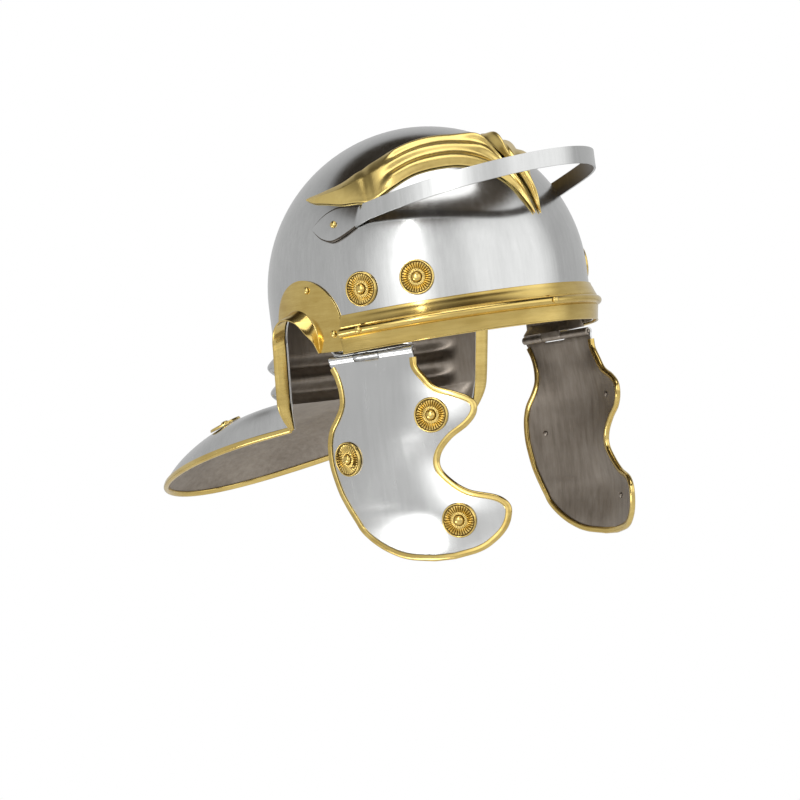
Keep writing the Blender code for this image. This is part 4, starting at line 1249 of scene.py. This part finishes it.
def fit_rivets(side, name):
    for place, (ahead, height) in EAR_GUARD_RIVETS.items():
        point = skin(side, ahead, height, FACET_GAP + BRASS_WALL)
        add_dome(f"ear_rivet_{place}_{name}", point, skin_normal(point),
                 replaced=[f"rivet_ear_{place}_{name}"])
    tab_middle = TAB_TIP_AHEAD + TAB_LENGTH * TAB_RIVET_ALONG
    point = skin(side, tab_middle, TAB_CENTRE_HEIGHT, FACET_GAP + BAR_WALL)
    add_dome(f"bar_rivet_{name}", point, skin_normal(point), replaced=[f"rivet_bar_{name}"])
    point, normal = bead_place(side, BAND_RIVET_AHEAD)
    add_dome(f"band_rivet_{name}", point, normal, replaced=[f"rivet_band_{name}"])


def fit_front_rivet():
    across = FRONT_RIVET_ACROSS / BOWL_HALF_WIDTH
    point, normal = bead_place(-1.0, BOWL_HALF_LENGTH * math.sqrt(1.0 - across * across))
    add_dome("band_rivet_front", point, normal, replaced=["rivet_band_front"])


make_guard_trim(make_bowl())
make_band()
make_brow_bar()
for side, name in ((-1.0, "right"), (1.0, "left")):
    make_ear_guard(side, name)
    make_eyebrow(side, name)
    make_cheek(side, name)
    make_hinge_leaf(side, name)
    make_hinge_pin(side, name)
    fit_rosettes(side, name)
    fit_rivets(side, name)
fit_front_rivet()


# Floor, light and camera.

FLOOR_HEIGHT = -1.12
FLOOR_RADIUS = 4.6
FLOOR_GLOW = 0.22
CAMERA_AZIMUTH = math.radians(-45.5)
CAMERA_ELEVATION = math.radians(-2.0)
CAMERA_ROLL = math.radians(7.4)
CAMERA_DISTANCE = 2.4
PIXELS_PER_METRE = 1443.0
IMAGE_SIDE = 800.0
BEAD_PIXEL = (431.3, 323.0)
STUDIO_STRENGTH = 1.7
LIGHT_AIM_HEIGHT = -0.12

SOFTBOXES = (
    # name, azimuth, elevation, distance, width, height, watts
    ("strip_beside_camera", -70.0, 24.0, 2.2, 0.24, 1.7, 7.0),
    ("overhead", -40.0, 74.0, 2.0, 1.8, 1.1, 9.5),
    ("low_side", -114.0, -27.0, 1.9, 1.2, 0.6, 8.5),
)

STUDIO_WALLS = (
    # azimuth in degrees, brightness
    (-180.0, 0.36),
    (-105.0, 0.40),
    (-92.0, 0.62),
    (-80.0, 1.0),
    (-64.0, 1.0),
    (-52.0, 0.58),
    (-38.0, 0.55),
    (-22.0, 0.80),
    (38.0, 0.78),
    (60.0, 0.37),
    (180.0, 0.36),
)

STUDIO_HEIGHTS = (
    # elevation in degrees, red, green, blue
    (-90.0, 0.42, 0.42, 0.42),
    (-16.0, 0.52, 0.52, 0.52),
    (-8.0, 0.86, 0.86, 0.86),
    (0.0, 1.0, 1.0, 1.0),
    (30.0, 0.95, 0.95, 0.95),
    (40.0, 0.80, 0.80, 0.80),
    (46.0, 0.09, 0.072, 0.054),
    (52.0, 0.055, 0.044, 0.032),
    (66.0, 0.10, 0.085, 0.07),
    (80.0, 0.34, 0.34, 0.34),
    (90.0, 0.44, 0.44, 0.44),
)


def make_floor():
    mesh = bpy.data.meshes.new("floor")
    builder = bmesh.new()
    bmesh.ops.create_circle(builder, cap_ends=True, radius=FLOOR_RADIUS, segments=96)
    builder.to_mesh(mesh)
    builder.free()
    material = bpy.data.materials.new("pale_floor")
    material.use_nodes = True
    tree = material.node_tree
    clouds = stretched_noise(tree, 1.5, EVEN, 2.0)
    feed(tree, tree.nodes["Principled BSDF"], {
        "Base Color": ramp(tree, clouds, [(0.3, grey(0.86)), (0.7, grey(0.88))]),
        "Roughness": 0.9,
        "Emission Color": grey(1.0),
        "Emission Strength": FLOOR_GLOW})
    mesh.materials.append(material)
    floor = bpy.data.objects.new("floor", mesh)
    floor.location = (0.0, 0.0, FLOOR_HEIGHT)
    bpy.context.scene.collection.objects.link(floor)


def direction(azimuth, elevation):
    level = Vector((math.sin(azimuth), -math.cos(azimuth), 0.0))
    return level * math.cos(elevation) + UP * math.sin(elevation)


def add_softbox(name, azimuth, elevation, distance, width, height, watts):
    light = bpy.data.lights.new(name, "AREA")
    light.shape = "ELLIPSE"
    light.size = width
    light.size_y = height
    light.energy = watts
    lamp = bpy.data.objects.new(name, light)
    towards = direction(math.radians(azimuth), math.radians(elevation))
    lamp.location = towards * distance + UP * LIGHT_AIM_HEIGHT
    lamp.rotation_euler = towards.to_track_quat("Z", "Y").to_euler()
    bpy.context.scene.collection.objects.link(lamp)


def make_world():
    """Grey walls under a dark brown ceiling, which the camera itself sees as plain white."""
    world = bpy.data.worlds.new("studio")
    bpy.context.scene.world = world
    world.use_nodes = True
    tree = world.node_tree
    place = tree.nodes.new("ShaderNodeTexCoord")
    split = add_node(tree, "ShaderNodeSeparateXYZ", {"Vector": place.outputs["Generated"]})
    ahead = add_node(tree, "ShaderNodeMath", {0: split.outputs["Y"], 1: -1.0}, operation="MULTIPLY")
    azimuth = add_node(tree, "ShaderNodeMath", {0: split.outputs["X"], 1: ahead.outputs["Value"]},
                       operation="ARCTAN2")
    around = map_range(tree, azimuth.outputs["Value"], (-math.pi, math.pi))
    walls = ramp(tree, around, [(angle / 360.0 + 0.5, grey(value))
                                for angle, value in STUDIO_WALLS])
    upwards = map_range(tree, split.outputs["Z"], (-1.0, 1.0))
    heights = ramp(tree, upwards, [((math.sin(math.radians(angle)) + 1.0) / 2.0, (*colour, 1.0))
                                   for angle, *colour in STUDIO_HEIGHTS])
    product = add_node(tree, "ShaderNodeVectorMath", {0: walls, 1: heights}, operation="MULTIPLY")
    background = tree.nodes["Background"]
    feed(tree, background, {"Color": product.outputs["Vector"], "Strength": STUDIO_STRENGTH})
    white = add_node(tree, "ShaderNodeBackground", {"Color": grey(1.0), "Strength": 1.0})
    path = tree.nodes.new("ShaderNodeLightPath")
    mix = add_node(tree, "ShaderNodeMixShader", {
        "Fac": path.outputs["Is Camera Ray"], 1: background.outputs["Background"],
        2: white.outputs["Background"]})
    feed(tree, tree.nodes["World Output"], {"Surface": mix.outputs["Shader"]})


def make_camera():
    towards = direction(CAMERA_AZIMUTH, CAMERA_ELEVATION)
    level = Vector((math.cos(CAMERA_AZIMUTH), math.sin(CAMERA_AZIMUTH), 0.0))
    upright = towards.cross(level)
    right = level * math.cos(CAMERA_ROLL) - upright * math.sin(CAMERA_ROLL)
    up = level * math.sin(CAMERA_ROLL) + upright * math.cos(CAMERA_ROLL)
    bead_centre = UP * -CROWN_INSIDE_HEIGHT
    place = bead_centre + towards * CAMERA_DISTANCE
    middle = IMAGE_SIDE / 2.0
    target = (bead_centre + right * ((middle - BEAD_PIXEL[0]) / PIXELS_PER_METRE)
              + up * ((BEAD_PIXEL[1] - middle) / PIXELS_PER_METRE))
    back = (place - target).normalized()
    side_axis = up.cross(back).normalized()
    up_axis = back.cross(side_axis)
    camera_data = bpy.data.cameras.new("camera")
    camera_data.lens = PIXELS_PER_METRE * CAMERA_DISTANCE / IMAGE_SIDE * camera_data.sensor_width
    camera_data.clip_start = 0.05
    camera_data.clip_end = 100.0
    camera = bpy.data.objects.new("camera", camera_data)
    turn = Matrix((side_axis, up_axis, back)).transposed().to_4x4()
    camera.matrix_world = Matrix.Translation(place) @ turn
    bpy.context.scene.collection.objects.link(camera)
    bpy.context.scene.camera = camera


make_floor()
make_world()
make_camera()
for softbox in SOFTBOXES:
    add_softbox(*softbox)
bpy.context.scene.view_settings.view_transform = "Standard"
